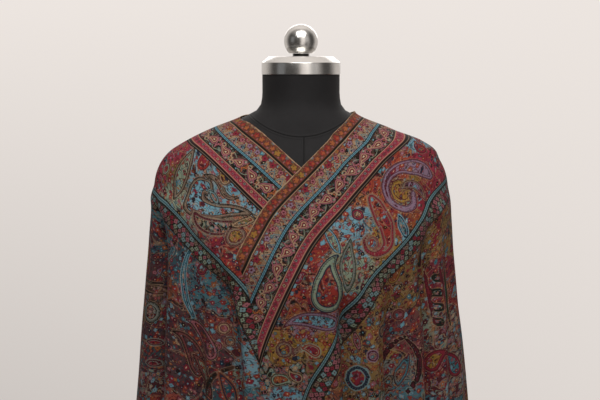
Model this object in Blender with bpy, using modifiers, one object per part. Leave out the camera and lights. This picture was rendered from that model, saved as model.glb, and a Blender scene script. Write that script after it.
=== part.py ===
"""A pashmina shawl worn crossed over a limbless dress form, on a pole and a round base.

The shawl is one woven rectangle. It lies over both shoulders, its right front crosses over its left
front, and below the crossing the left front's rolled fold laps back over the right one. The cloth is
built as a wall on rings round the form: each ring is a rounded outline at one drop below the neck
point, and named folds push the wall in or out along lines that run down it.

Lengths are in millimetres until a mesh is made. Azimuth 0 faces the front (-Y) and grows towards +X.
Drop is the distance below the neck point, where neck and shoulder meet.
"""

import math
from collections import namedtuple

import bpy
import numpy as np

MM = 0.001
NECK_HEIGHT = 1360.0  # floor to the neck point

# ---- the cloth -------------------------------------------------------------------------------------
WALL = 1.5  # thickness of the cloth's wall
SEAM_GAP = 0.4  # between the stretches of the shawl
REST_GAP = 0.3  # between resting pieces of the form and its stand
LAYER_LIFT = WALL + 1.2  # how far a layer stands out where it lies over another

# ---- the dress form and its stand ------------------------------------------------------------------
CAP_RADIUS = 56.0
CAP_SIDE_HEIGHT = 16.5
CAP_CHAMFER = 8.5
CAP_TOP_RADIUS = 45.5
KNOB_RADIUS = 24.1
KNOB_FLAT_RADIUS = 17.0  # where the ball is cut flat to sit on its collar
COLLAR_RADIUS = 12.0
COLLAR_HEIGHT = 4.0
NECK_TOP_DROP = -55.5
TORSO_BOTTOM_DROP = 700.0
PLATE_THICKNESS = 10.0
PLATE_INSET = 6.0
FLANGE_RADIUS = 38.0
FLANGE_HEIGHT = 26.0
POLE_RADIUS = 12.5
HUB_RADIUS = 30.0
HUB_HEIGHT = 34.0
BASE_RADIUS = 185.0
BASE_HEIGHT = 12.0
BASE_CHAMFER = 4.0
ROUND_SEGMENTS = 32
KNOB_RINGS = 12

RING_COLUMNS = ("drop", "half_width", "front", "back", "squareness")

# The dress form's body: a general size, about 88 cm at the bust, 68 at the waist and 93 at the hip.
TORSO_RINGS = (
    (-55.5, 55.0, 55.0, 55.0, 2.0),
    (-30.0, 55.0, 55.5, 55.5, 2.0),
    (-14.0, 57.0, 57.0, 57.5, 2.0),
    (-6.0, 62.0, 60.0, 61.0, 2.0),
    (0.0, 71.5, 63.0, 65.0, 2.0),
    (5.0, 82.5, 65.0, 67.5, 2.0),
    (21.0, 122.0, 70.0, 75.0, 2.0),
    (39.0, 159.0, 78.3, 85.0, 2.0),
    (56.0, 185.0, 88.0, 92.0, 2.05),
    (73.0, 197.0, 96.5, 98.5, 2.1),
    (90.0, 201.0, 102.5, 103.0, 2.1),
    (112.0, 200.0, 110.0, 107.0, 2.15),
    (135.0, 190.0, 118.0, 110.0, 2.2),
    (165.0, 170.0, 127.5, 111.0, 2.2),
    (195.0, 158.0, 134.0, 109.0, 2.2),
    (235.0, 152.0, 131.5, 105.0, 2.2),
    (285.0, 143.0, 116.0, 98.0, 2.2),
    (340.0, 128.0, 100.0, 88.0, 2.2),
    (400.0, 118.0, 92.0, 82.0, 2.2),
    (460.0, 126.0, 96.0, 90.0, 2.2),
    (530.0, 148.0, 103.0, 104.0, 2.2),
    (600.0, 164.0, 107.0, 112.0, 2.25),
    (650.0, 168.0, 107.0, 112.0, 2.3),
    (700.0, 166.0, 104.0, 108.0, 2.3),
)

# The shawl's inner side, before its folds: it rests on the shoulders and the bust and hangs below.
DRAPE_RINGS = (
    (-9.0, 73.0, 65.0, 67.0, 2.0),
    (0.0, 77.5, 66.5, 68.5, 2.0),
    (5.0, 85.5, 67.8, 70.2, 2.0),
    (21.0, 125.5, 73.0, 78.0, 2.0),
    (39.0, 162.5, 82.0, 88.0, 2.0),
    (56.0, 188.5, 91.5, 95.5, 2.05),
    (73.0, 201.0, 100.0, 101.5, 2.1),
    (90.0, 207.0, 106.0, 105.5, 2.1),
    (107.0, 209.5, 112.0, 108.5, 2.1),
    (135.0, 213.0, 121.5, 112.0, 2.1),
    (165.0, 216.0, 130.5, 114.0, 2.1),
    (195.0, 218.5, 137.0, 115.0, 2.1),
    (225.0, 221.5, 140.5, 115.5, 2.1),
    (262.0, 225.0, 142.0, 116.0, 2.1),
    (314.0, 230.0, 141.5, 117.0, 2.1),
    (365.0, 234.0, 140.0, 119.0, 2.1),
    (430.0, 240.0, 139.0, 122.0, 2.1),
    (520.0, 247.0, 140.0, 127.0, 2.1),
    (640.0, 255.0, 145.0, 134.0, 2.1),
    (780.0, 263.0, 153.0, 142.0, 2.1),
    (940.0, 271.0, 162.0, 152.0, 2.1),
    (1140.0, 279.0, 171.0, 162.0, 2.1),
)

# Each fold follows a line round the form from its top to its low point. With no fade it then runs on
# to the hem. A height above 0 is a ridge and one below 0 a trough; lean slides the cloth along the ring,
# so that one lip laps over the trough.
Fold = namedtuple(
    "Fold", "name top_azimuth top_drop low_azimuth low_drop half_width height lean grow fade",
)
FOLDS = (
    # over the shoulder tips, and the pull from each tip to the crossing and the bust
    ("right_shoulder", 86.0, 24.0, 84.0, 44.0, 62.0, 9.5, 0.0, 14.0, 24.0),
    ("left_pull", -80.0, 100.0, -37.0, 182.0, 54.0, 12.0, 0.0, 26.0, 62.0),
    ("right_pull", 76.0, 102.0, 23.0, 226.0, 58.0, 12.0, 0.0, 40.0, 70.0),
    # hanging folds of the right front
    ("bust_drop", 20.0, 165.0, 27.5, 380.0, 11.5, -18.0, -4.0, 130.0, 0.0),
    ("bust_ridge", 12.0, 195.0, 16.0, 400.0, 19.0, 7.0, 0.0, 170.0, 0.0),
    ("armhole_ridge", 34.0, 200.0, 37.0, 400.0, 16.0, 9.0, 0.0, 170.0, 0.0),
    ("armhole_drop", 45.0, 180.0, 49.0, 400.0, 12.0, -21.0, -5.0, 150.0, 0.0),
    ("sleeve_ridge", 55.0, 190.0, 56.5, 420.0, 12.0, 9.0, 0.0, 170.0, 0.0),
    ("sleeve_drop", 70.0, 96.0, 63.0, 200.0, 12.5, -21.0, 6.0, 150.0, 0.0),
    ("centre_soft", -3.0, 280.0, -5.0, 500.0, 14.0, -10.0, 3.0, 200.0, 0.0),
    ("low_right", 84.0, 330.0, 82.0, 600.0, 17.0, -12.0, 3.0, 240.0, 0.0),
    ("right_sweep", 92.0, 230.0, 90.0, 600.0, 42.0, 5.0, 0.0, 160.0, 0.0),
    # hanging folds of the left front
    ("sleeve_gap", -79.0, 100.0, -70.5, 205.0, 10.5, -30.0, -9.0, 90.0, 0.0),
    ("gap_lip", -66.0, 120.0, -61.0, 240.0, 12.0, 7.0, 0.0, 110.0, 0.0),
    ("left_soft", -53.0, 205.0, -52.0, 400.0, 13.0, -13.0, 4.0, 150.0, 0.0),
    # hanging folds of the back
    ("back_side_right", 114.0, 150.0, 112.0, 600.0, 17.0, -21.0, 6.0, 220.0, 0.0),
    ("back_ridge_1", 127.0, 190.0, 126.0, 600.0, 18.0, 9.0, 0.0, 260.0, 0.0),
    ("back_fold_1", 141.0, 170.0, 139.0, 600.0, 15.0, -18.0, 5.0, 240.0, 0.0),
    ("back_ridge_2", 154.0, 230.0, 152.0, 600.0, 20.0, 8.0, 0.0, 300.0, 0.0),
    ("back_fold_2", 168.0, 210.0, 166.0, 600.0, 16.0, -16.0, -4.0, 280.0, 0.0),
    ("back_ridge_3", 182.0, 260.0, 181.0, 600.0, 20.0, 8.0, 0.0, 300.0, 0.0),
    ("back_fold_3", 196.0, 190.0, 197.0, 600.0, 15.0, -17.0, -5.0, 260.0, 0.0),
    ("back_ridge_4", 210.0, 240.0, 211.0, 600.0, 18.0, 9.0, 0.0, 280.0, 0.0),
    ("back_fold_4", 224.0, 165.0, 226.0, 600.0, 15.0, -19.0, -5.0, 240.0, 0.0),
    ("back_ridge_5", 238.0, 200.0, 240.0, 600.0, 17.0, 9.0, 0.0, 260.0, 0.0),
    ("back_side_left", 252.0, 150.0, 254.0, 600.0, 14.0, -20.0, -6.0, 220.0, 0.0),
)
HEM_FLARE = 0.9  # a hanging fold is this much deeper again 1 m below its top

# Where the crossing is, and the edges that cut the stretches out of the rings, as (x, drop) on the
# front and as (azimuth, drop) round the nape.
CROSSING_DROP = 187.0  # the right front's edge goes under the left front's roll here
OVER_EDGE = (
    (-80.0, 187.0), (-74.5, 172.0), (-52.0, 125.0), (-24.0, 93.0), (0.5, 68.5), (33.0, 35.5), (52.0, 17.0),
    (67.0, 3.0),
)
UNDER_EDGE = ((-73.0, 11.0), (-53.0, 24.0), (-24.5, 47.5), (1.0, 69.5), (26.0, 91.0), (50.0, 112.0))
NAPE_EDGE = (
    (80.0, -2.5), (92.0, -3.0), (106.0, -1.0), (124.0, 3.0), (150.0, 6.0), (180.0, 7.5), (215.0, 5.5),
    (248.0, 3.0), (268.0, 4.5), (280.0, 6.0),
)
ROLL_EDGE = (
    (187.0, -80.0), (193.0, -78.0), (213.0, -73.5), (244.0, -67.2), (272.0, -62.8), (300.0, -59.0),
    (331.0, -56.8), (384.0, -55.6), (600.0, -52.0), (1200.0, -46.0),
)
# Across the roll, from its free edge into the left front.
RollRow = namedtuple("RollRow", "inset lift bulge")
ROLL_PROFILE = [RollRow(*row) for row in (
    (0.0, 1.0, 0.0), (2.5, 1.0, 3.4), (6.0, 1.0, 6.8), (11.0, 1.0, 8.4), (16.0, 0.85, 5.8), (21.0, 0.4, 0.5),
    (27.0, 0.0, -5.5), (36.0, 0.0, -5.5), (48.0, 0.0, -2.0), (62.0, 0.0, 0.0),
)]
ROLL_CLEAR = 2.6  # from the right front's inner side to the roll's, where the roll's lift is 1
ROLL_LIFT_GROWTH = 9.0  # drop over which the roll clears the right front
ROLL_BULGE_GROWTH = 75.0
LAYER_FALL = 190.0  # drop over which the right front sinks back below the crossing
TUCK_CLEAR = 1.0  # beside the young roll, before the right front runs under it
TUCK_START = 195.0
TUCK_SLOPE = 0.8
TUCK_DEPTH = 16.0  # how far the right front runs under the roll
FLAP_END_X = 46.0  # where the left front stops, hidden under the right one
FLAP_FADE_START = math.radians(3.0)  # past the flap's end, the right front sinks back over this turn
FLAP_FADE_TURN = math.radians(11.0)
LEFT_SEAM = -84.0
RIGHT_SEAM = 100.0
HEM_DROPS = (
    (0.0, 912.0), (26.0, 945.0), (60.0, 1055.0), (78.0, 1048.0), (110.0, 1000.0), (145.0, 963.0),
    (180.0, 948.0),
)

UPPER_ROWS = 12  # from the neck edge to the crossing's drop
UPPER_CROWDING = 1.1  # above 1, the rows lie closer together at the top
LOWER_STARTS = (9.0, 18.0, 32.0)  # the first rows below the crossing, which the two fronts share
LOWER_ROWS = 14  # from there to the hem
LOWER_CROWDING = 1.15
OVER_COLUMNS = 44
FLAP_COLUMNS = 6
UNDER_COLUMNS = 13  # besides those across the roll
BACK_COLUMNS = 46
TORSO_SEGMENTS = 32

# name: base colour, roughness, metallic
FINISHES = {
    "printed_wool": ((0.30, 0.14, 0.11), 0.85, 0.0),
    "black_jersey": ((0.012, 0.012, 0.014), 0.80, 0.0),
    "polished_steel": ((0.72, 0.71, 0.69), 0.18, 1.0),
    "dark_steel": ((0.06, 0.06, 0.06), 0.35, 1.0),
    "black_board": ((0.03, 0.03, 0.03), 0.60, 0.0),
}


def smoothstep(x):
    t = np.clip(x, 0.0, 1.0)
    return t * t * (3.0 - 2.0 * t)


def monotone_curve(xs, ys):
    """A smooth curve through the points that never overshoots them."""
    xs, ys = np.asarray(xs, float), np.asarray(ys, float)
    step = np.diff(xs)
    slope = np.diff(ys) / step
    tangent = np.zeros_like(ys)
    tangent[0], tangent[-1] = slope[0], slope[-1]
    for i in range(1, len(xs) - 1):
        if slope[i - 1] * slope[i] > 0:
            before, after = 2 * step[i] + step[i - 1], step[i] + 2 * step[i - 1]
            tangent[i] = (before + after) / (before / slope[i - 1] + after / slope[i])

    def value(x):
        x = np.asarray(x, float)
        i = np.clip(np.searchsorted(xs, x) - 1, 0, len(step) - 1)
        t = np.clip((x - xs[i]) / step[i], 0.0, 1.0)
        return (
            (2 * t**3 - 3 * t**2 + 1) * ys[i]
            + (t**3 - 2 * t**2 + t) * step[i] * tangent[i]
            + (-2 * t**3 + 3 * t**2) * ys[i + 1]
            + (t**3 - t**2) * step[i] * tangent[i + 1]
        )

    return value


def curve_through(pairs):
    return monotone_curve(*zip(*sorted(pairs)))


def ring_curves(rows):
    drops = [row[0] for row in rows]
    return [monotone_curve(drops, [row[i] for row in rows]) for i in range(1, len(RING_COLUMNS))]


TORSO = ring_curves(TORSO_RINGS)
DRAPE = ring_curves(DRAPE_RINGS)


def ring_radius(rings, azimuth, drop):
    """Distance from the axis to a rounded ring, in the direction of azimuth."""
    half_width, front, back, squareness = (curve(drop) for curve in rings)
    depth = np.where(np.cos(azimuth) > 0, front, back)
    across = np.abs(np.sin(azimuth)) / half_width
    along = np.abs(np.cos(azimuth)) / depth
    return (across**squareness + along**squareness) ** (-1.0 / squareness)


def azimuth_at(x, drop):
    """The azimuth on the front of the drape where its ring is x from the middle."""
    azimuth = np.arctan2(x, DRAPE[1](drop))
    for _ in range(12):
        sine = np.clip(x / ring_radius(DRAPE, azimuth, drop), -0.999, 0.999)
        azimuth = 0.5 * (azimuth + np.arcsin(sine))
    return azimuth


roll_x = curve_through(ROLL_EDGE)
roll_base = curve_through([(row.inset, row.lift) for row in ROLL_PROFILE])
roll_bulge = curve_through([(row.inset, row.bulge) for row in ROLL_PROFILE])
hem_by_angle = curve_through(HEM_DROPS)


def hem_drop(azimuth):
    turned = np.abs((np.degrees(azimuth) + 180.0) % 360.0 - 180.0)
    return hem_by_angle(turned)


def neck_edge(points, nape_turn):
    """The drop of a front's free edge by azimuth, joined to the nape's edge behind the shoulder."""
    front = [(float(azimuth_at(x, drop)), drop) for x, drop in points]
    nape = [(math.radians(angle + nape_turn), drop) for angle, drop in NAPE_EDGE]
    return curve_through(front + nape)


over_edge = neck_edge(OVER_EDGE, 0.0)
under_edge = neck_edge(UNDER_EDGE, -360.0)
nape_edge = curve_through([(math.radians(angle), drop) for angle, drop in NAPE_EDGE])

CROSSING = float(azimuth_at(OVER_EDGE[0][0], CROSSING_DROP))
FLAP_END = float(azimuth_at(FLAP_END_X, CROSSING_DROP))


def fold_offsets(azimuth, drop):
    """How far the folds push the cloth out, and along the ring towards +azimuth."""
    radius = ring_radius(DRAPE, azimuth, drop)
    outward, along = np.zeros_like(radius), np.zeros_like(radius)
    for fold in map(Fold._make, FOLDS):
        below = drop - fold.top_drop
        share = np.clip(below / (fold.low_drop - fold.top_drop), 0.0, 1.0)
        centre = np.radians(fold.top_azimuth + (fold.low_azimuth - fold.top_azimuth) * share)
        turn = (azimuth - centre + math.pi) % (2 * math.pi) - math.pi
        strength = smoothstep(below / fold.grow)
        if fold.fade:
            strength = strength * smoothstep((fold.low_drop + fold.fade - drop) / fold.fade)
        else:
            strength = strength * (1.0 + HEM_FLARE * np.clip(below - fold.grow, 0.0, None) / 1000.0)
        bump = strength * np.exp(-((turn * radius / fold.half_width) ** 2))
        outward += fold.height * bump
        along += fold.lean * bump
    return outward, along


def no_lift(azimuth, drop):
    return np.zeros_like(azimuth * drop)


def layer_lift(drop):
    """How far the right front stands out over the left one, sinking back below the crossing."""
    return LAYER_LIFT * (1.0 - smoothstep((drop - CROSSING_DROP) / LAYER_FALL))


def over_lift(azimuth, drop):
    past_flap = azimuth - FLAP_END - FLAP_FADE_START
    return layer_lift(drop) * smoothstep(1.0 - past_flap / FLAP_FADE_TURN)


def roll_lift(azimuth, drop):
    """The left front's free edge rolls up over the right front below the crossing."""
    inset = roll_x(drop) - ring_radius(DRAPE, azimuth, drop) * np.sin(azimuth)
    below = drop - CROSSING_DROP
    lift = roll_base(inset) * (ROLL_CLEAR + layer_lift(drop)) * smoothstep(below / ROLL_LIFT_GROWTH)
    return lift + roll_bulge(inset) * smoothstep(below / ROLL_BULGE_GROWTH)


def cloth_point(azimuth, drop, lift):
    """A point of the cloth's inner side, in millimetres."""
    outward, along = fold_offsets(azimuth, drop)
    radius = ring_radius(DRAPE, azimuth, drop)
    turned_azimuth = azimuth + along / radius
    reach = radius + outward + lift(azimuth, drop)
    return np.stack(
        [reach * np.sin(turned_azimuth), -reach * np.cos(turned_azimuth), NECK_HEIGHT - drop], axis=-1,
    )


def drops_by_length(azimuths, top, bottom, rows, crowding):
    """The drop of each row in each column, spaced by length along the cloth from top to bottom."""
    share = np.linspace(0.0, 1.0, 240)[:, None] ** 1.5
    drops = top + (bottom - top) * share
    fine = cloth_point(azimuths(drops), drops, no_lift)
    length = np.cumsum(np.linalg.norm(np.diff(fine, axis=0), axis=-1), axis=0)
    length = np.vstack([np.zeros(length.shape[1]), length])
    wanted = np.linspace(0.0, 1.0, rows + 1) ** crowding
    columns = zip(length.T, drops.T)
    return np.stack([np.interp(wanted * along[-1], along, down) for along, down in columns], axis=1)


def upper_part(azimuths, top_edge, lift):
    """Points from the neck's edge down to the crossing's drop."""
    at_top = azimuths(np.full((1, 1), 5.0))[0]
    drops = drops_by_length(azimuths, top_edge(at_top), CROSSING_DROP, UPPER_ROWS, UPPER_CROWDING)
    return cloth_point(azimuths(drops), drops, lift)


def lower_part(azimuths, lift):
    """Points from the crossing's drop down to the hem, without the row at the crossing."""
    first = CROSSING_DROP + np.array(LOWER_STARTS)[:, None]
    at_hem = azimuths(np.full((1, 1), 1000.0))[0]
    drops = drops_by_length(azimuths, first[-1], hem_drop(at_hem), LOWER_ROWS, LOWER_CROWDING)
    shared = np.broadcast_to(first[:-1], (len(first) - 1, drops.shape[1]))
    drops = np.concatenate([shared, drops])
    return cloth_point(azimuths(drops), drops, lift)


def columns_between(first, last, count):
    """Azimuth by drop for each column, from the first boundary to the last one."""
    share = np.linspace(0.0, 1.0, count + 1)[None, :]
    return lambda drops: first(drops) + (last(drops) - first(drops)) * share


def seam_at(degrees, shift):
    """A side boundary at one azimuth, moved round the ring by shift millimetres."""
    return lambda drops: math.radians(degrees) + shift / ring_radius(DRAPE, math.radians(degrees), drops)


def roll_boundary(drops):
    return azimuth_at(roll_x(drops), drops)


def tuck_boundary(drops):
    """The right front's free edge: beside the young roll at first, and then hidden under it."""
    under = np.clip((drops - TUCK_START) * TUCK_SLOPE, 0.0, TUCK_DEPTH)
    edge_x = np.where(drops <= CROSSING_DROP, OVER_EDGE[0][0], roll_x(drops))
    return azimuth_at(edge_x + TUCK_CLEAR - under, np.maximum(drops, CROSSING_DROP))


def sheet_mesh(name, points, quads):
    mesh = bpy.data.meshes.new(name)
    mesh.from_pydata((points * MM).tolist(), [], quads)
    mesh.validate()
    return mesh


def row_quads(above, below):
    """Faces between two rows of point numbers, seen from outside with azimuth growing."""
    return [(above[c], below[c], below[c + 1], above[c + 1]) for c in range(len(below) - 1)]


def cloth_object(name, rows):
    """A cloth wall from rows of points. A lower row may be shorter: the flap beyond it ends there."""
    points, numbers = [], []
    for row in rows:
        numbers.append(range(len(points), len(points) + len(row)))
        points.extend(row)
    quads = [quad for above, below in zip(numbers, numbers[1:]) for quad in row_quads(above, below)]
    mesh = sheet_mesh(name, np.array(points), quads)
    mesh.shade_smooth()
    cloth = bpy.data.objects.new(name, mesh)
    wall = cloth.modifiers.new("cloth wall", "SOLIDIFY")
    wall.thickness = WALL * MM
    wall.offset = 1.0
    wall.use_even_offset = False
    return finished(cloth, "printed_wool")


def shawl_front_over():
    """The right front, with its long edge free from the shoulder down to the crossing."""
    azimuths = columns_between(tuck_boundary, seam_at(RIGHT_SEAM, -SEAM_GAP / 2), OVER_COLUMNS)
    return cloth_object("shawl_front_over", [
        *upper_part(azimuths, over_edge, over_lift), *lower_part(azimuths, over_lift),
    ])


def shawl_front_under():
    """The left front: a flap that runs under the right front above the crossing, and a roll below it."""
    side = seam_at(LEFT_SEAM, SEAM_GAP / 2)
    insets = np.array([row.inset for row in reversed(ROLL_PROFILE)])
    across = np.concatenate([np.full(UNDER_COLUMNS, insets[0]), insets])
    share = np.concatenate([np.linspace(0.0, 1.0, UNDER_COLUMNS + 1)[:-1], np.ones(len(insets))])

    def main_azimuths(drops):
        edge = np.where(drops <= CROSSING_DROP, CROSSING, roll_boundary(drops))
        radius = ring_radius(DRAPE, edge, drops)
        roll_start = edge - insets[0] / radius
        return side(drops) + (roll_start - side(drops)) * share + (insets[0] - across) / radius

    def upper_azimuths(drops):
        flap = np.linspace(CROSSING, FLAP_END, FLAP_COLUMNS + 1)[1:] + 0.0 * drops[:, -1:]
        main = main_azimuths(drops[:, :len(share)])
        return np.concatenate([main, flap], axis=1)

    return cloth_object("shawl_front_under", [
        *upper_part(upper_azimuths, under_edge, no_lift), *lower_part(main_azimuths, roll_lift),
    ])


def shawl_back():
    """The back, from the fold behind the right arm round to the gap beside the left one."""
    first = seam_at(RIGHT_SEAM, SEAM_GAP / 2)
    last = seam_at(LEFT_SEAM + 360.0, -SEAM_GAP / 2)
    azimuths = columns_between(first, last, BACK_COLUMNS)
    return cloth_object("shawl_back", [
        *upper_part(azimuths, nape_edge, no_lift), *lower_part(azimuths, no_lift),
    ])


def form_torso():
    """The dress form's body, a loft of rings from under the neck cap to the hip."""
    drops = np.concatenate([
        [NECK_TOP_DROP, -34.0, -16.0, -6.0, 0.0, 7.0, 15.0, 25.0, 36.0, 48.0, 60.0, 73.0, 88.0, 106.0],
        np.linspace(132.0, TORSO_BOTTOM_DROP, 13),
    ])
    azimuths = np.linspace(0.0, 2 * math.pi, TORSO_SEGMENTS, endpoint=False)
    angle, drop = np.meshgrid(azimuths, drops)
    radius = ring_radius(TORSO, angle, drop)
    points = np.stack([radius * np.sin(angle), -radius * np.cos(angle), NECK_HEIGHT - drop], axis=-1)
    faces = []
    for r in range(len(drops) - 1):
        for c in range(TORSO_SEGMENTS):
            following = (c + 1) % TORSO_SEGMENTS
            faces.append((
                r * TORSO_SEGMENTS + c, (r + 1) * TORSO_SEGMENTS + c,
                (r + 1) * TORSO_SEGMENTS + following, r * TORSO_SEGMENTS + following,
            ))
    bottom = (len(drops) - 1) * TORSO_SEGMENTS
    faces.append(tuple(range(TORSO_SEGMENTS)))
    faces.append(tuple(reversed(range(bottom, bottom + TORSO_SEGMENTS))))
    mesh = sheet_mesh("form_torso", points.reshape(-1, 3), faces)
    mesh.shade_smooth()
    mesh.set_sharp_from_angle(angle=math.radians(50))
    return finished(bpy.data.objects.new("form_torso", mesh), "black_jersey")


def form_plate():
    """The flat board that closes the form's underside."""
    azimuths = np.linspace(0.0, 2 * math.pi, TORSO_SEGMENTS, endpoint=False)
    radius = ring_radius(TORSO, azimuths, TORSO_BOTTOM_DROP) - PLATE_INSET
    outline = bpy.data.curves.new("form_plate", "CURVE")
    outline.dimensions = "2D"
    outline.fill_mode = "BOTH"
    outline.extrude = PLATE_THICKNESS / 2 * MM
    loop = outline.splines.new("POLY")
    loop.points.add(TORSO_SEGMENTS - 1)
    for point, angle, reach in zip(loop.points, azimuths, radius):
        point.co = (reach * math.sin(angle) * MM, -reach * math.cos(angle) * MM, 0.0, 1.0)
    loop.use_cyclic_u = True
    plate = bpy.data.objects.new("form_plate", outline)
    top = NECK_HEIGHT - TORSO_BOTTOM_DROP - REST_GAP
    plate.location.z = (top - PLATE_THICKNESS / 2) * MM
    return finished(plate, "black_board")


def turned(name, profile, finish):
    """A round piece from its profile, given as (radius, height) from the top down."""
    mesh = bpy.data.meshes.new(name)
    points = [(radius * MM, 0.0, height * MM) for radius, height in profile]
    mesh.from_pydata(points, [(i, i + 1) for i in range(len(points) - 1)], [])
    piece = bpy.data.objects.new(name, mesh)
    screw = piece.modifiers.new("turn", "SCREW")
    screw.steps = screw.render_steps = ROUND_SEGMENTS
    screw.use_merge_vertices = True
    screw.merge_threshold = 0.00001
    screw.use_smooth_shade = True
    return finished(piece, finish)


def form_neck_cap(bottom):
    top = bottom + CAP_SIDE_HEIGHT + CAP_CHAMFER
    turned("form_neck_cap", [
        (0.0, top), (CAP_TOP_RADIUS, top), (CAP_RADIUS, top - CAP_CHAMFER),
        (CAP_RADIUS, bottom), (0.0, bottom),
    ], "polished_steel")
    return top


def form_knob_collar(bottom):
    top = bottom + COLLAR_HEIGHT
    turned("form_knob_collar", [
        (0.0, top), (COLLAR_RADIUS, top), (COLLAR_RADIUS, bottom), (0.0, bottom),
    ], "dark_steel")
    return top


def form_knob(bottom):
    """A ball cut flat underneath, where its collar holds it."""
    lowest = math.acos(-math.sqrt(1.0 - (KNOB_FLAT_RADIUS / KNOB_RADIUS) ** 2))
    centre = bottom - KNOB_RADIUS * math.cos(lowest)
    angles = np.linspace(0.0, lowest, KNOB_RINGS)
    ball = [(KNOB_RADIUS * math.sin(a), centre + KNOB_RADIUS * math.cos(a)) for a in angles]
    ball[0] = (0.0, centre + KNOB_RADIUS)
    turned("form_knob", ball + [(0.0, bottom)], "polished_steel")


def stand(plate_bottom):
    """The flange under the form, the pole, and the hub and base that it stands on."""
    flange_top = plate_bottom - REST_GAP
    flange_bottom = flange_top - FLANGE_HEIGHT
    turned("stand_flange", [
        (0.0, flange_top), (FLANGE_RADIUS, flange_top), (FLANGE_RADIUS, flange_top - 5.0),
        (POLE_RADIUS + 7.0, flange_top - 9.0), (POLE_RADIUS + 6.0, flange_bottom), (0.0, flange_bottom),
    ], "polished_steel")
    hub_bottom = BASE_HEIGHT + REST_GAP
    hub_top = hub_bottom + HUB_HEIGHT
    pole_top, pole_bottom = flange_bottom - REST_GAP, hub_top + REST_GAP
    turned("stand_pole", [
        (0.0, pole_top), (POLE_RADIUS, pole_top), (POLE_RADIUS, pole_bottom), (0.0, pole_bottom),
    ], "polished_steel")
    turned("stand_hub", [
        (0.0, hub_top), (POLE_RADIUS + 6.0, hub_top), (POLE_RADIUS + 8.0, hub_top - 4.0),
        (HUB_RADIUS, hub_bottom + 8.0), (HUB_RADIUS, hub_bottom), (0.0, hub_bottom),
    ], "polished_steel")
    turned("stand_base", [
        (0.0, BASE_HEIGHT), (BASE_RADIUS - BASE_CHAMFER, BASE_HEIGHT),
        (BASE_RADIUS, BASE_HEIGHT - BASE_CHAMFER),
        (BASE_RADIUS, 0.0), (0.0, 0.0),
    ], "polished_steel")


def material(name):
    found = bpy.data.materials.get(name)
    if found:
        return found
    colour, roughness, metallic = FINISHES[name]
    made = bpy.data.materials.new(name)
    made.use_nodes = True
    shader = made.node_tree.nodes["Principled BSDF"]
    shader.inputs["Base Color"].default_value = (*colour, 1.0)
    shader.inputs["Roughness"].default_value = roughness
    shader.inputs["Metallic"].default_value = metallic
    return made


def finished(piece, finish):
    piece.data.materials.append(material(finish))
    bpy.data.collections["pashmina_shawl_on_form"].objects.link(piece)
    return piece


def main():
    for old in list(bpy.data.objects):
        bpy.data.objects.remove(old, do_unlink=True)
    bpy.context.scene.collection.children.link(bpy.data.collections.new("pashmina_shawl_on_form"))
    form_torso()
    form_plate()
    cap_top = form_neck_cap(NECK_HEIGHT - NECK_TOP_DROP + REST_GAP)
    collar_top = form_knob_collar(cap_top + REST_GAP)
    form_knob(collar_top + REST_GAP)
    stand(NECK_HEIGHT - TORSO_BOTTOM_DROP - REST_GAP - PLATE_THICKNESS)
    shawl_back()
    shawl_front_under()
    shawl_front_over()


main()
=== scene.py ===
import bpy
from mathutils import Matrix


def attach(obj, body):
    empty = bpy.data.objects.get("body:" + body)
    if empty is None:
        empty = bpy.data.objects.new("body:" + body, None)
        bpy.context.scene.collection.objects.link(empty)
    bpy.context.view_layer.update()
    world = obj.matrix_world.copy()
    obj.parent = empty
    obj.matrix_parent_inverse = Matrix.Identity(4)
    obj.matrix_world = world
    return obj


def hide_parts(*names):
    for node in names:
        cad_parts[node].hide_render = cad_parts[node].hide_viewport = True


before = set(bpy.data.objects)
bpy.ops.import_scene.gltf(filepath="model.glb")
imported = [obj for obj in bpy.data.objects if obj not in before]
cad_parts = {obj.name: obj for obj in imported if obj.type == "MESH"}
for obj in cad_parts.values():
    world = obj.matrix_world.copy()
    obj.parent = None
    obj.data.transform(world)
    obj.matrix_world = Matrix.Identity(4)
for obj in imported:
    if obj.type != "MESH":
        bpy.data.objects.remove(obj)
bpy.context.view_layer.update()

import math

import bpy
import numpy as np
from mathutils.kdtree import KDTree

# A patterned wool shawl, worn crossed over a dress form. Sizes are in millimetres until a mesh is made.
# Azimuth 0 faces the front (-Y) and grows towards +X. Drop is the distance below the neck point.

print("camera and light")

view = {
    "place": (-0.0014, -1.8, 1.441),  # metres
    "pitch": 83.5,  # degrees from straight down
    "lens": 75.6,
}

lights = {
    # name: (place, aimed at, size in metres, watts, colour)
    "overheadSoftbox": ((0.02, -0.92, 2.55), (0.0, -0.05, 1.27), (1.3, 0.9), 24.0, (1.0, 0.985, 0.96)),
    "frontFill": ((1.7, -2.6, 1.9), (0.0, 0.0, 1.20), (1.8, 1.8), 4.5, (1.0, 0.97, 0.94)),
    "leftFill": ((-2.4, -1.4, 1.9), (0.0, 0.0, 1.20), (1.2, 1.6), 1.1, (0.90, 0.95, 1.0)),
    "backFill": ((0.3, 2.6, 2.4), (0.0, 0.0, 1.0), (2.4, 1.6), 24.0, (1.0, 0.98, 0.96)),
}

room = {
    "wall": (0.825, 0.768, 0.728),
    "wallSeen": 1.02,  # how bright the wall is where it is seen
    "wallPaintedShade": (0.13, 0.15),  # the wall's painted shade: how much darker it gets downwards, everywhere and on the left
    "wallLight": 0.14,  # how much of it lights the shawl
    # What the steel mirrors, by the direction it comes from in radians. The wall behind: how bright, from where.
    "wallMirrored": (0.80, 1.85),
    "lampsMirrored": ((1.3, 0.22, 0.24), (0.45, 0.92, 0.14)),  # a window and a lamp: how bright, middle, half width
    "ceilingMirrored": (0.5, 0.75),
    "roomMirrored": 0.10,
    "floor": (0.93, 0.915, 0.90),
    "floorReach": 2.9,
}


def clearSelection():
    for each in bpy.context.selected_objects:
        each.select_set(False)


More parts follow.
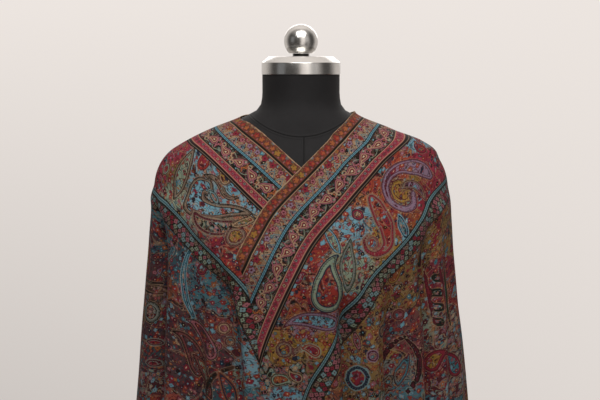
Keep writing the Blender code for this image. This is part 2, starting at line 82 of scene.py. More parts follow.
def makeCamera():
    camera = bpy.data.objects.new("camera", bpy.data.cameras.new("camera"))
    camera.location = view["place"]
    camera.rotation_euler = (math.radians(view["pitch"]), 0.0, 0.0)
    camera.data.lens = view["lens"]
    bpy.context.collection.objects.link(camera)
    bpy.context.scene.camera = camera


def makeLights():
    for name, (place, aim, size, watts, colour) in lights.items():
        lamp = bpy.data.lights.new(name, "AREA")
        lamp.shape = "RECTANGLE"
        lamp.size, lamp.size_y = size
        lamp.energy = watts
        lamp.color = colour
        holder = bpy.data.objects.new(name, lamp)
        holder.location = place
        direction = np.array(aim) - np.array(place)
        holder.rotation_euler = (
            math.atan2(math.hypot(direction[0], direction[1]), -direction[2]),
            0.0,
            math.atan2(direction[1], direction[0]) - math.pi / 2,
        )
        bpy.context.collection.objects.link(holder)


class Wire:
    # A socket that takes part in plain sums: each operator adds its Math node.
    def __init__(self, socket):
        self.socket = socket

    def make(self, kind, settings=None, inputs=None, out=0):
        # Any node: its settings first, then the values or links of its sockets.
        tree = self.socket.id_data
        node = tree.nodes.new(kind)
        for name, value in (settings or {}).items():
            if name == "stops":
                ramp = node.color_ramp
                while len(ramp.elements) < len(value):
                    ramp.elements.new(1.0)
                for element, (position, colour) in zip(ramp.elements, value):
                    element.position = position
                    element.color = (*colour, 1.0)
            elif name == "interpolation":
                node.color_ramp.interpolation = value
            else:
                setattr(node, name, value)
        for key, value in (inputs or {}).items():
            if isinstance(value, Wire):
                tree.links.new(value.socket, node.inputs[key])
            else:
                node.inputs[key].default_value = value
        return Wire(node.outputs[out])

    def sum(self, operation, *values, clamp=False):
        return self.make("ShaderNodeMath", {"operation": operation, "use_clamp": clamp}, dict(enumerate(values)))

    def then(self, operation, *others, clamp=False):
        # The same with this value as the first one.
        return self.sum(operation, self, *others, clamp=clamp)

    def __add__(self, other):
        return self.then("ADD", other)

    def __radd__(self, other):
        return self.sum("ADD", other, self)

    def __sub__(self, other):
        return self.then("SUBTRACT", other)

    def __rsub__(self, other):
        return self.sum("SUBTRACT", other, self)

    def __mul__(self, other):
        return self.then("MULTIPLY", other)

    def __rmul__(self, other):
        return self.sum("MULTIPLY", other, self)

    def __truediv__(self, other):
        return self.then("DIVIDE", other)

    def __abs__(self):
        return self.then("ABSOLUTE")


makeCamera()
makeLights()

print("cloth shape")

cloth = {
    "neckHeight": 1360.0,
    "raise": 0.5,  # from the solid's inner side to the sheet's own
    "thickness": 1.0,
    "layerLift": 2.7,
    "layerFall": 190.0,
    "crossing": 187.0,
    "flapEnd": 46.0,
    "leftSeam": -84.0,
    "rightSeam": 100.0,
    "hemFlare": 0.9,
    "upperRows": 62,
    "lowerRows": 188,
    "overColumns": 150,
    "underColumns": 62,
    "flapColumns": 20,
    "backColumns": 160,
}

# drop, half width, front, back, squareness
drapeRings = (
    (-9, 73, 65, 67, 2), (0, 77.5, 66.5, 68.5, 2), (5, 85.5, 67.8, 70.2, 2),
    (21, 125.5, 73, 78, 2), (39, 162.5, 82, 88, 2), (56, 188.5, 91.5, 95.5, 2.05),
    (73, 201, 100, 101.5, 2.1), (90, 207, 106, 105.5, 2.1), (107, 209.5, 112, 108.5, 2.1),
    (135, 213, 121.5, 112, 2.1), (165, 216, 130.5, 114, 2.1), (195, 218.5, 137, 115, 2.1),
    (225, 221.5, 140.5, 115.5, 2.1), (262, 225, 142, 116, 2.1), (314, 230, 141.5, 117, 2.1),
    (365, 234, 140, 119, 2.1), (430, 240, 139, 122, 2.1), (520, 247, 140, 127, 2.1),
    (640, 255, 145, 134, 2.1), (780, 263, 153, 142, 2.1), (940, 271, 162, 152, 2.1),
    (1140, 279, 171, 162, 2.1),
)

# Folds: top azimuth, top drop, low azimuth, low drop, half width, height, lean, grow, fade (0 runs to the hem).
folds = (
    (86, 24, 84, 44, 62, 9.5, 0, 14, 24),  # over the right shoulder's tip
    (-80, 100, -37, 182, 54, 12, 0, 26, 62),  # the pull across the left front
    (76, 102, 23, 226, 58, 12, 0, 40, 70),  # and across the right one
    (20, 165, 27.5, 380, 11.5, -18, -4, 130, 0),  # hanging folds of the right front
    (12, 195, 16, 400, 19, 7, 0, 170, 0),
    (34, 200, 37, 400, 16, 9, 0, 170, 0),
    (45, 180, 49, 400, 12, -21, -5, 150, 0),
    (55, 190, 56.5, 420, 12, 9, 0, 170, 0),
    (70, 96, 63, 200, 12.5, -21, 6, 150, 0),
    (-3, 280, -5, 500, 14, -10, 3, 200, 0),
    (84, 330, 82, 600, 17, -12, 3, 240, 0),
    (92, 230, 90, 600, 42, 5, 0, 160, 0),
    (-79, 100, -70.5, 205, 10.5, -30, -9, 90, 0),  # hanging folds of the left front
    (-66, 120, -61, 240, 12, 7, 0, 110, 0),
    (-53, 205, -52, 400, 13, -13, 4, 150, 0),
    (114, 150, 112, 600, 17, -21, 6, 220, 0),  # hanging folds of the back
    (127, 190, 126, 600, 18, 9, 0, 260, 0),
    (141, 170, 139, 600, 15, -18, 5, 240, 0),
    (154, 230, 152, 600, 20, 8, 0, 300, 0),
    (168, 210, 166, 600, 16, -16, -4, 280, 0),
    (182, 260, 181, 600, 20, 8, 0, 300, 0),
    (196, 190, 197, 600, 15, -17, -5, 260, 0),
    (210, 240, 211, 600, 18, 9, 0, 280, 0),
    (224, 165, 226, 600, 15, -19, -5, 240, 0),
    (238, 200, 240, 600, 17, 9, 0, 260, 0),
    (252, 150, 254, 600, 14, -20, -6, 220, 0),
)

# Soft creases in the same columns. They are smaller than the folds, and no two are alike.
creases = (
    (52, 96, 12, 196, 13, 2.4, 0, 24, 44),  # across the right front, towards the crossing
    (44, 84, 2, 176, 11, -1.6, 0, 20, 26),
    (63, 120, 34, 182, 12, -2.2, 0, 18, 40),
    (30, 152, 8, 205, 10, 1.7, 0, 16, 30),
    (-58, 96, -40, 150, 12, -1.9, 0, 22, 30),  # across the left front
    (-47, 108, -34, 163, 10, 1.8, 0, 18, 22),
    (-66, 118, -46, 190, 12, -2.2, 0, 20, 44),
    (-44, 176, -38, 330, 10, -3.4, 1, 60, 90),
    (-33, 214, -33.5, 410, 9, -2.6, 0, 70, 120),
    (-57, 255, -59.5, 420, 7.5, -4, -1.5, 60, 100),
    (-47, 300, -44, 520, 9.5, 3.6, 0, 90, 140),
    (-76, 190, -77.5, 520, 9, -4.2, 1.5, 80, 180),
    (-76.5, 150, -73.6, 330, 6.5, -9, 0, 60, 0),
    (2, 230, 5, 400, 10, -3, 0, 60, 120),  # down the right front
    (24, 262, 21, 450, 8, 2.8, 0, 70, 160),
    (31, 235, 32, 380, 7, -3.2, 0, 50, 110),
    (41, 240, 41.5, 520, 8, -4.4, -1, 90, 0),
    (52.5, 208, 53, 330, 6.5, -3, 0, 40, 90),
    (60, 214, 60.5, 470, 7, 4.2, 0, 80, 200),
    (68, 150, 69.5, 300, 8, 3.2, 0, 50, 120),
    (74, 168, 73, 420, 7.5, -4.6, 1.5, 70, 0),
    (79, 140, 79, 340, 9, 3.4, 0, 60, 150),
    (88, 150, 87, 400, 9, -3.6, -1, 90, 160),
    (96, 110, 97, 380, 12, -3.8, 0, 80, 0),
    (12, 470, 9, 760, 13, -6, 2, 120, 0),
    (-14, 420, -15, 800, 14, 5, 0, 140, 0),
    (106, 180, 104, 520, 9, 4, 0, 90, 220),  # round the back
    (120, 130, 121, 330, 10, -3.4, 0, 60, 160),
    (134, 250, 133, 640, 10, -5, 1.5, 130, 0),
    (147, 120, 150, 300, 12, -2.6, 0, 60, 120),
    (160, 330, 161, 760, 11, -4.4, -1, 140, 0),
    (175, 150, 174, 420, 13, -3.2, 0, 90, 180),
    (189, 300, 189, 700, 10, -4.6, 1, 120, 0),
    (203, 140, 205, 360, 12, 3, 0, 70, 150),
    (217, 300, 218, 700, 10, -5, -1.5, 130, 0),
    (231, 120, 230, 340, 11, -3.2, 0, 70, 160),
    (245, 260, 246, 640, 9, -4.6, 1, 110, 0),
    (261, 130, 262, 420, 10, 4.2, 0, 80, 200),
    (270, 170, 269, 560, 9, -4.4, 0, 100, 0),
)

# Free edges as (x, drop) on the front and (azimuth, drop) round the nape.
overEdge = ((-80, 187), (-74.5, 172), (-52, 125), (-24, 93), (0.5, 68.5), (33, 35.5), (52, 17), (67, 3))
underEdge = ((-73, 11), (-53, 24), (-24.5, 47.5), (1, 69.5), (26, 91), (50, 112))
napeEdge = (
    (80, -2.5), (92, -3), (106, -1), (124, 3), (150, 6), (180, 7.5), (215, 5.5),
    (248, 3), (268, 4.5), (280, 6),
)
rollEdge = (
    (187, -80), (193, -78), (213, -73.5), (244, -67.2), (272, -62.8), (300, -59),
    (331, -56.8), (384, -55.6), (600, -52), (1200, -46),
)
hemDrops = (
    (0, 912), (26, 945), (60, 1055), (78, 1048), (110, 1000), (145, 963), (180, 948),
)

roll = {
    "clear": 2.6,
    "liftGrowth": 9.0,
    "bulgeGrowth": 75.0,
    # inset from the edge, share of the lift, bulge
    "profile": (
        (0.0, 1.0, 1.9), (1.2, 1.0, 3.6), (2.5, 1.0, 4.6), (6.0, 1.0, 7.2), (11.0, 1.0, 8.4), (16.0, 0.85, 5.8),
        (21.0, 0.4, 0.5), (27.0, 0.0, -5.5), (36.0, 0.0, -5.5), (48.0, 0.0, -2.0), (62.0, 0.0, 0.0),
    ),
    "step": 2.1,  # between the columns across it
    # where the cloth turns under: inset, bulge
    "turnedUnder": ((-0.7, 1.2), (-0.8, 0.3), (0.0, -0.3), (1.6, -0.45), (5.0, -0.4), (10.0, -0.2), (15.0, 0.2)),
    "firstTurnedRow": 5,
}
tuck = {"clear": 1.0, "start": 195.0, "slope": 0.8, "depth": 16.0}


def smoothStep(x):
    t = np.clip(x, 0.0, 1.0)
    return t * t * (3.0 - 2.0 * t)


def monotoneCurve(xs, ys):
    # A smooth curve through the points that never overshoots them.
    xs, ys = np.asarray(xs, float), np.asarray(ys, float)
    step = np.diff(xs)
    slope = np.diff(ys) / step
    tangent = np.zeros_like(ys)
    tangent[0], tangent[-1] = slope[0], slope[-1]
    for i in range(1, len(xs) - 1):
        if slope[i - 1] * slope[i] > 0:
            before, after = 2 * step[i] + step[i - 1], step[i] + 2 * step[i - 1]
            tangent[i] = (before + after) / (before / slope[i - 1] + after / slope[i])

    def value(x):
        x = np.asarray(x, float)
        i = np.clip(np.searchsorted(xs, x) - 1, 0, len(step) - 1)
        t = np.clip((x - xs[i]) / step[i], 0.0, 1.0)
        return (
            (2 * t**3 - 3 * t**2 + 1) * ys[i] + (t**3 - 2 * t**2 + t) * step[i] * tangent[i]
            + (-2 * t**3 + 3 * t**2) * ys[i + 1] + (t**3 - t**2) * step[i] * tangent[i + 1]
        )

    return value


def curveThrough(pairs):
    return monotoneCurve(*zip(*sorted(pairs)))


def ringCurves(rings):
    drops, *columns = zip(*rings)
    return [monotoneCurve(drops, column) for column in columns]


drape = ringCurves(drapeRings)


def ringRadius(azimuth, drop, curves=drape):
    halfWidth, front, back, squareness = (curve(drop) for curve in curves)
    depth = np.where(np.cos(azimuth) > 0, front, back)
    across = np.abs(np.sin(azimuth)) / halfWidth
    along = np.abs(np.cos(azimuth)) / depth
    return (across**squareness + along**squareness) ** (-1.0 / squareness)


def azimuthAt(x, drop):
    azimuth = np.arctan2(x, drape[1](drop))
    for _ in range(12):
        sine = np.clip(x / ringRadius(azimuth, drop), -0.999, 0.999)
        azimuth = 0.5 * (azimuth + np.arcsin(sine))
    return azimuth


rollX = curveThrough(rollEdge)
rollBase = curveThrough([(inset, lift) for inset, lift, _ in roll["profile"]])
rollBulge = curveThrough([(inset, bulge) for inset, _, bulge in roll["profile"]])
hemByAngle = curveThrough(hemDrops)


def hemDrop(azimuth):
    turned = np.abs((np.degrees(azimuth) + 180.0) % 360.0 - 180.0)
    return hemByAngle(turned)


def neckEdge(points, napeTurn):
    front = [(float(azimuthAt(x, drop)), drop) for x, drop in points]
    nape = [(math.radians(angle + napeTurn), drop) for angle, drop in napeEdge]
    return curveThrough(front + nape)


overTop = neckEdge(overEdge, 0.0)
underTop = neckEdge(underEdge, -360.0)
napeTop = curveThrough([(math.radians(angle), drop) for angle, drop in napeEdge])
crossingAzimuth = float(azimuthAt(overEdge[0][0], cloth["crossing"]))
flapAzimuth = float(azimuthAt(cloth["flapEnd"], cloth["crossing"]))


def foldOffsets(azimuth, drop):
    radius = ringRadius(azimuth, drop)
    outward, along = np.zeros_like(radius), np.zeros_like(radius)
    for topAzimuth, topDrop, lowAzimuth, lowDrop, halfWidth, height, lean, grow, fade in folds + creases:
        share = np.clip((drop - topDrop) / (lowDrop - topDrop), 0.0, 1.0)
        centre = np.radians(topAzimuth + (lowAzimuth - topAzimuth) * share)
        turn = (azimuth - centre + math.pi) % (2 * math.pi) - math.pi
        strength = smoothStep((drop - topDrop) / grow)
        if fade:
            strength = strength * smoothStep((lowDrop + fade - drop) / fade)
        else:
            strength = strength * (1.0 + cloth["hemFlare"] * np.clip(drop - topDrop - grow, 0.0, None) / 1000.0)
        bump = strength * np.exp(-((turn * radius / halfWidth) ** 2))
        outward += height * bump
        along += lean * bump
    return outward, along


def layerLift(drop):
    return cloth["layerLift"] * (1.0 - smoothStep((drop - cloth["crossing"]) / cloth["layerFall"]))


def overLift(azimuth, drop):
    return layerLift(drop) * smoothStep((flapAzimuth + math.radians(14.0) - azimuth) / math.radians(11.0))


def rollRise(drop, share, bulge):
    below = drop - cloth["crossing"]
    lift = share * (roll["clear"] + layerLift(drop)) * smoothStep(below / roll["liftGrowth"])
    return lift + bulge * smoothStep(below / roll["bulgeGrowth"])


def rollLift(azimuth, drop):
    inset = rollX(drop) - ringRadius(azimuth, drop) * np.sin(azimuth)
    return rollRise(drop, rollBase(inset), rollBulge(inset))


def around(reach, azimuth, drop):
    return np.stack([reach * np.sin(azimuth), -reach * np.cos(azimuth), cloth["neckHeight"] - drop], axis=-1)


def clothPoint(azimuth, drop, lift):
    outward, along = foldOffsets(azimuth, drop)
    radius = ringRadius(azimuth, drop)
    return around(radius + outward + lift + cloth["raise"], azimuth + along / radius, drop)


def ironed(azimuth, drop):
    # The same place on the cloth as if it had no folds: the print is laid out here.
    return around(ringRadius(azimuth, drop), azimuth, drop)


def dropsByLength(azimuths, top, bottom, rows, crowding):
    share = np.linspace(0.0, 1.0, 240)[:, None] ** 1.5
    drops = top + (bottom - top) * share
    fine = ironed(azimuths(drops), drops)
    length = np.cumsum(np.linalg.norm(np.diff(fine, axis=0), axis=-1), axis=0)
    length = np.vstack([np.zeros(length.shape[1]), length])
    wanted = np.linspace(0.0, 1.0, rows + 1) ** crowding
    return np.stack([np.interp(wanted * along[-1], along, down) for along, down in zip(length.T, drops.T)], axis=1)


def upperDrops(azimuths, topEdge):
    atTop = azimuths(np.full((1, 1), 5.0))[0]
    return dropsByLength(azimuths, topEdge(atTop), cloth["crossing"], cloth["upperRows"], 1.0)


def lowerDrops(azimuths):
    atHem = azimuths(np.full((1, 1), 1000.0))[0]
    return dropsByLength(azimuths, cloth["crossing"] + 0.0 * atHem, hemDrop(atHem), cloth["lowerRows"], 1.45)[1:]


def columnsBetween(first, last, count):
    share = np.linspace(0.0, 1.0, count + 1)[None, :]
    return lambda drops: first(drops) + (last(drops) - first(drops)) * share


def seamAt(degrees):
    return lambda drops: math.radians(degrees) + 0.0 * drops


def rollBoundary(drops):
    return azimuthAt(rollX(drops), drops)


def tuckBoundary(drops):
    under = np.clip((drops - tuck["start"]) * tuck["slope"], 0.0, tuck["depth"])
    edge = np.where(drops <= cloth["crossing"], overEdge[0][0], rollX(drops))
    return azimuthAt(edge + tuck["clear"] - under, np.maximum(drops, cloth["crossing"]))


class ClothGrid:
    # The points of one stretch: where each lies on the cloth, how far it is lifted, and the faces between them.
    def __init__(self):
        self.azimuth, self.drop, self.lift = [], [], []
        self.count = 0
        self.faces = []
        self.last = None

    def add(self, azimuth, drop, lift):
        numbers = np.arange(self.count, self.count + azimuth.size).reshape(azimuth.shape)
        self.count += azimuth.size
        self.azimuth.append(azimuth.ravel())
        self.drop.append(drop.ravel())
        self.lift.append(np.broadcast_to(lift, azimuth.shape).ravel())
        return numbers

    def rows(self, azimuth, drop, lift):
        # A block of rows under the last one. It may be narrower: what lies beyond it above ends there.
        numbers = self.add(azimuth, drop, lift)
        if self.last is not None:
            numbers = np.vstack([self.last[:azimuth.shape[1]], numbers])
        self.quads(numbers)
        self.last = numbers[-1]
        return numbers

    def quads(self, numbers):
        above, below = numbers[:-1], numbers[1:]
        self.faces.append(np.stack([above[:, :-1], below[:, :-1], below[:, 1:], above[:, 1:]], axis=-1).reshape(-1, 4))

    def finish(self):
        self.azimuth, self.drop = np.concatenate(self.azimuth), np.concatenate(self.drop)
        self.lift = np.concatenate(self.lift)
        self.points = clothPoint(self.azimuth, self.drop, self.lift)
        self.faces = np.concatenate(self.faces)
        return self


def overGrid():
    grid = ClothGrid()
    azimuths = columnsBetween(tuckBoundary, seamAt(cloth["rightSeam"]), cloth["overColumns"])
    for drops in (upperDrops(azimuths, overTop), lowerDrops(azimuths)):
        turned = azimuths(drops)
        grid.rows(turned, drops, overLift(turned, drops))
    return grid.finish()


def underGrid():
    grid = ClothGrid()
    side = seamAt(cloth["leftSeam"])
    widest = roll["profile"][-1][0]
    insets = np.linspace(widest, 0.0, round(widest / roll["step"]) + 1)
    across = np.concatenate([np.full(cloth["underColumns"], widest), insets])
    share = np.concatenate([np.linspace(0.0, 1.0, cloth["underColumns"] + 1)[:-1], np.ones(len(insets))])

    def mainAzimuths(drops):
        edge = np.where(drops <= cloth["crossing"], crossingAzimuth, rollBoundary(drops))
        radius = ringRadius(edge, drops)
        start = edge - widest / radius
        return side(drops) + (start - side(drops)) * share + (widest - across) / radius

    def upperAzimuths(drops):
        flap = np.linspace(crossingAzimuth, flapAzimuth, cloth["flapColumns"] + 1)[1:] + 0.0 * drops[:, -1:]
        return np.concatenate([mainAzimuths(drops[:, :len(share)]), flap], axis=1)

    drops = upperDrops(upperAzimuths, underTop)
    grid.rows(upperAzimuths(drops), drops, 0.0)
    drops = lowerDrops(mainAzimuths)
    turned = mainAzimuths(drops)
    numbers = grid.rows(turned, drops, rollLift(turned, drops))
    first = roll["firstTurnedRow"]
    edgeDrops = drops[first:, -1:] + np.zeros((1, len(roll["turnedUnder"])))
    insets, bulges = np.array(roll["turnedUnder"]).T
    edge = rollBoundary(edgeDrops)
    turned = edge - insets / ringRadius(edge, edgeDrops)
    under = grid.add(turned, edgeDrops, rollRise(edgeDrops, 1.0, bulges) + foldStep(edge, turned, edgeDrops))
    grid.quads(np.hstack([numbers[first + 1:, -1:], under]))
    return grid.finish()


def foldStep(edge, azimuth, drop):
    # The part turned under keeps the height that the folds have at the roll's edge.
    return foldOffsets(edge, drop)[0] - foldOffsets(azimuth, drop)[0]


def backGrid():
    grid = ClothGrid()
    azimuths = columnsBetween(seamAt(cloth["rightSeam"]), seamAt(cloth["leftSeam"] + 360.0), cloth["backColumns"])
    for drops in (upperDrops(azimuths, napeTop), lowerDrops(azimuths)):
        grid.rows(azimuths(drops), drops, 0.0)
    return grid.finish()


print("print layout")

# The hidden part of each long edge, as (x, drop), from the crossing down inside the shawl.
hiddenOverEdge = (
    (-80, 187), (-98, 220), (-114, 262), (-124, 310), (-130, 370), (-134, 450), (-140, 700), (-144, 1150),
)
hiddenUnderEdge = ((50, 112), (70, 140), (83, 175), (90, 220), (94, 300), (96, 450), (100, 700), (104, 1150))


def edgeLine(points, spacing=1.5):
    # Evenly spaced points along a line on the ironed cloth, and how far each is along it.
    points = np.asarray(points)
    length = np.concatenate([[0.0], np.cumsum(np.linalg.norm(np.diff(points, axis=0), axis=1))])
    wanted = np.arange(0.0, length[-1], spacing)
    return np.stack([np.interp(wanted, length, points[:, k]) for k in range(3)], axis=1), wanted


def frontLine(pairs, count=120):
    xs, drops = np.array(pairs, float).T
    along = np.linspace(0.0, 1.0, len(xs))
    share = np.linspace(0.0, 1.0, count)
    xs, drops = monotoneCurve(along, xs)(share), monotoneCurve(along, drops)(share)
    return ironed(azimuthAt(xs, drops), drops)


# Each starts a little beyond the middle of the nape.
napeTurn = np.radians(np.linspace(220.0, 80.0, 110))
nape = ironed(napeTurn, napeTop(napeTurn))
rightPath = np.vstack([nape, frontLine(overEdge[::-1]), frontLine(hiddenOverEdge)[1:]])
napeTurn = np.radians(np.linspace(140.0, 280.0, 110))
nape = ironed(napeTurn, napeTop(napeTurn))
leftPath = np.vstack([nape, frontLine(underEdge), frontLine(hiddenUnderEdge)[1:]])
edgeLines = {"right": edgeLine(rightPath), "left": edgeLine(leftPath)}

# The border's inner double line, from the nape to the hem: azimuth and drop.
innerTables = {
    "right": (
        (180, 162), (165, 160.5), (150, 157), (130, 146), (115, 126), (100, 98), (90, 89.5),
        (82, 95), (73.6, 107), (68.7, 117), (59.9, 141), (52, 165), (41.7, 192), (32.6, 219),
        (25, 256), (17.9, 297), (12.3, 325), (6.5, 352), (2.5, 374), (-2, 412), (-4.5, 470),
        (-6, 600), (-6, 1150),
    ),
    "left": (
        (180, 162), (195, 160.5), (210, 157), (230, 146), (245, 130), (257, 113), (266, 106.5),
        (275, 108), (284, 114.5), (291, 121), (301.2, 144), (307, 160), (317.8, 186), (325.5, 203),
        (331, 222), (337, 255), (345, 310), (352, 410), (354, 1150),
    ),
}
border = {
    "innerLine": 160.6,  # mm from the edge
    "blendFrom": 30.0,  # the distance follows the edge up to here, and the inner line more and more from here on
    "blend": 95.0,
    "farSide": 230.0,  # beyond it the nearest line may be the one on the body's other side
}


def innerPath(pairs, count=700):
    azimuths, drops = np.array(pairs, float).T
    along, share = np.arange(len(pairs)), np.linspace(0.0, len(pairs) - 1.0, count)
    return ironed(np.radians(monotoneCurve(along, azimuths)(share)), monotoneCurve(along, drops)(share))


innerLines = {side: edgeLine(innerPath(pairs)) for side, pairs in innerTables.items()}


def alongLine(points, path):
    # The nearest place on a line: how far along it is, the way there, and the line's direction.
    line, along = path
    tangent = np.gradient(line, along, axis=0)
    tangent /= np.linalg.norm(tangent, axis=1)[:, None]
    tree = KDTree(len(line))
    for i, place in enumerate(line):
        tree.insert(place, i)
    tree.balance()
    nearest = np.array([tree.find(place)[1] for place in points])
    away = points - line[nearest]
    forward = np.clip((away * tangent[nearest]).sum(axis=1), -2.0, 2.0)
    distance = np.sqrt(np.maximum((away**2).sum(axis=1) - forward**2, 0.0))
    return along[nearest] + forward, distance, away, tangent[nearest]


batch = 3000  # points that are measured at a time


def nearEdge(points, path, softness=12.0):
    # A softened distance from a line and place along it: its parallels round off where the line bends.
    line, along = path
    spacing = along[1] - along[0]
    run, away = np.empty(len(points)), np.empty(len(points))
    for start in range(0, len(points), batch):
        some = slice(start, start + batch)
        gap = np.linalg.norm(points[some, None] - line[None], axis=2)
        least = gap.min(axis=1)
        weight = np.exp((least[:, None] - gap) / softness)
        total = weight.sum(axis=1)
        straight = np.sqrt(2.0 * math.pi * softness * least + 4.0 * softness**2)
        run[some] = weight @ along / total
        away[some] = least - softness * np.log(total * spacing / straight)
    return run, np.maximum(away, 0.0)


def fromEdge(azimuth, drop, side):
    # How far each place is from the shawl's long edge, and how far along the edge and the inner line it lies.
    points = ironed(azimuth, drop)
    run, away = nearEdge(points, edgeLines[side])
    innerRun, gap, toPoint, tangent = alongLine(points, innerLines[side])
    normal = np.cross(ironed(azimuth, drop + 1.0) - points, ironed(azimuth + 0.01, drop) - points)
    turn = 1.0 if side == "right" else -1.0
    inward = np.sign((np.cross(normal, tangent) * toPoint).sum(axis=1)) * turn
    inward[away > border["farSide"]] = 1.0
    byLine = border["innerLine"] + gap * inward
    share = smoothStep((away - border["blendFrom"]) / border["blend"])
    return (run - napeStart[side]) * turn, innerRun * turn, away + (byLine - away) * share


napeMiddle = np.array([math.pi])
napePoint = ironed(napeMiddle, napeTop(napeMiddle))
napeStart = {side: float(nearEdge(napePoint, path)[0][0]) for side, path in edgeLines.items()}


# Lengths along the folded cloth, round it and down it, on a net of azimuths and drops.
net = {"turnStep": 0.5, "dropStep": 5.0}
net["azimuths"] = np.radians(np.arange(-125.0, 307.0, net["turnStep"]))
net["drops"] = np.arange(-9.0, 1141.0, net["dropStep"])
netTurn, netDrop = np.meshgrid(net["azimuths"], net["drops"])
netPoints = clothPoint(netTurn, netDrop, 0.0)
roundIt = np.cumsum(np.linalg.norm(np.diff(netPoints, axis=1), axis=2), axis=1)
net["round"] = np.hstack([np.zeros((len(roundIt), 1)), roundIt])
middle = int(np.argmin(np.abs(net["azimuths"])))
net["round"] -= net["round"][:, middle:middle + 1]
downIt = np.cumsum(np.linalg.norm(np.diff(netPoints, axis=0), axis=2), axis=0)
net["down"] = np.vstack([np.zeros((1, downIt.shape[1])), downIt])


def onNet(table, azimuth, drop):
    column = np.clip((azimuth - net["azimuths"][0]) / math.radians(net["turnStep"]), 0, table.shape[1] - 1.001)
    row = np.clip((drop - net["drops"][0]) / net["dropStep"], 0, table.shape[0] - 1.001)
    c, r = column.astype(int), row.astype(int)
    x, y = column - c, row - r
    upper = table[r, c] * (1 - x) + table[r, c + 1] * x
    lower = table[r + 1, c] * (1 - x) + table[r + 1, c + 1] * x
    return upper * (1 - y) + lower * y


paints = {
    "crimson": "8A2736", "red": "9A342B", "scarlet": "A94732", "orange": "AA6236", "rust": "8C4A2A",
    "mustard": "A07A34", "olive": "6E6136", "ochre": "8C6B34", "cream": "CDBB9A", "beige": "AE8F70",
    "rose": "A4626A", "lilac": "8F7488", "maroon": "541A26", "lightBlue": "74A4B4", "greyBlue": "7A9698",
    "teal": "447C88", "deepTeal": "2A5460", "sage": "8C9A84", "grey": "7F8078", "navy": "20283A",
    "black": "17130F", "brown": "4A3122", "darkGreen": "27382A", "roseBrown": "7A4340", "taupe": "85705F",
    # plum and slate are dark paints of the print; low on the left front they also serve as painted shade.
    "carmine": "A6364A", "plum": "543A3E", "russet": "764530", "slate": "46545A",
}
dyeStrength = 0.8


def paint(name):
    values = [int(paints[name][i:i + 2], 16) / 255.0 for i in (0, 2, 4)]
    return tuple(dyeStrength * (v / 12.92 if v <= 0.04045 else ((v + 0.055) / 1.055) ** 2.4) for v in values)


# Patches of ground colour: paint, azimuth, drop, reach. First those between the border's stripes.
borderPatches = (
    ("lightBlue", 82, 36, 1.0), ("carmine", 80, 66, 1.3), ("carmine", 74, 92, 1.0), ("scarlet", 52, 72, 1.2),
    ("scarlet", 46, 95, 1.1), ("orange", 38, 112, 0.8), ("rust", 58, 146, 1.0), ("mustard", 60, 104, 0.9),
    ("crimson", 66, 124, 0.9), ("red", 51, 134, 0.9), ("lightBlue", 30, 128, 1.2), ("lightBlue", 27, 156, 1.1),
    ("lightBlue", 21, 122, 0.8), ("mustard", 38, 170, 0.8), ("red", 9, 172, 1.1), ("red", 12, 198, 1.0),
    ("sage", 22, 190, 1.0), ("sage", 21, 220, 0.9), ("red", 18, 235, 0.8), ("scarlet", -1, 235, 1.1),
    ("orange", -6, 262, 0.9), ("lilac", 2, 274, 1.1),
    ("mustard", 4, 305, 1.1), ("mustard", -6, 318, 1.1), ("olive", 8, 322, 0.8), ("black", -13, 345, 1.2),
    ("black", -2, 348, 1.0), ("lightBlue", -8, 385, 1.2), ("lightBlue", 0, 400, 0.9), ("crimson", -14, 430, 1.0),
    ("mustard", -6, 470, 1.1), ("teal", -12, 520, 1.1), ("scarlet", -6, 580, 1.1),
    ("carmine", -81, 66, 1.2), ("carmine", -84, 42, 1.2), ("olive", -72, 78, 0.8), ("lightBlue", -64, 48, 1.0),
    ("lightBlue", -52, 76, 1.1), ("mustard", -50, 66, 0.6), ("lightBlue", -42, 98, 1.1), ("lightBlue", -33, 116, 0.9),
    ("lightBlue", -55, 104, 1.1), ("sage", -70, 106, 0.9), ("sage", -62, 126, 0.9), ("grey", -50, 150, 0.8),
    ("maroon", -53, 134, 0.7), ("black", -46, 139, 0.9), ("black", -40, 138, 0.8), ("taupe", -32, 138, 0.8),
    ("orange", -33, 160, 0.8),
    ("crimson", -40, 170, 0.9), ("grey", -46, 160, 0.8), ("red", -35, 186, 1.0), ("sage", -28, 168, 0.7),
)
# Then those of the field, beyond the last double line.
fieldPatches = (
    ("mustard", 69, 150, 1.1), ("ochre", 55, 205, 1.2), ("mustard", 38, 240, 1.2), ("mustard", 30, 296, 1.2),
    ("ochre", 26, 352, 1.1), ("mustard", 42, 320, 1.1), ("ochre", 58, 245, 1.0), ("crimson", 71, 232, 0.9),
    ("maroon", 72, 298, 0.9), ("roseBrown", 50, 288, 1.0), ("grey", 49, 344, 0.9), ("teal", 52, 382, 0.9),
    ("crimson", 62, 350, 1.0), ("maroon", 76, 384, 1.1), ("rust", 20, 392, 1.0), ("mustard", 12, 400, 0.9),
    ("red", 80, 250, 0.9), ("sage", 64, 300, 0.8), ("ochre", 80, 170, 0.9),
    ("teal", -64, 168, 1.2), ("teal", -50, 216, 1.2), ("teal", -38, 244, 1.1), ("deepTeal", -57, 190, 1.1),
    # Low on the left front the patches take dark paints, plum, slate and brown: partly the print's own colours, partly
    # painted shade for the shadow that falls there.
    ("rust", -64, 240, 0.9), ("plum", -63, 270, 0.9), ("plum", -56, 300, 1.2), ("plum", -58, 350, 1.1),
    ("roseBrown", -49, 322, 0.9), ("roseBrown", -40, 290, 1.1), ("plum", -42, 338, 1.0), ("deepTeal", -42, 384, 0.9),
    ("teal", -28, 275, 1.1), ("lightBlue", -26, 330, 1.0), ("teal", -26, 385, 1.1), ("teal", -78, 140, 0.8),
    ("plum", -78, 160, 0.8), ("deepTeal", -79, 184, 0.8), ("plum", -77, 216, 1.1), ("brown", -75, 258, 0.9),
    ("plum", -75, 300, 1.0), ("slate", -74, 340, 0.9), ("maroon", -75, 372, 0.9),
)
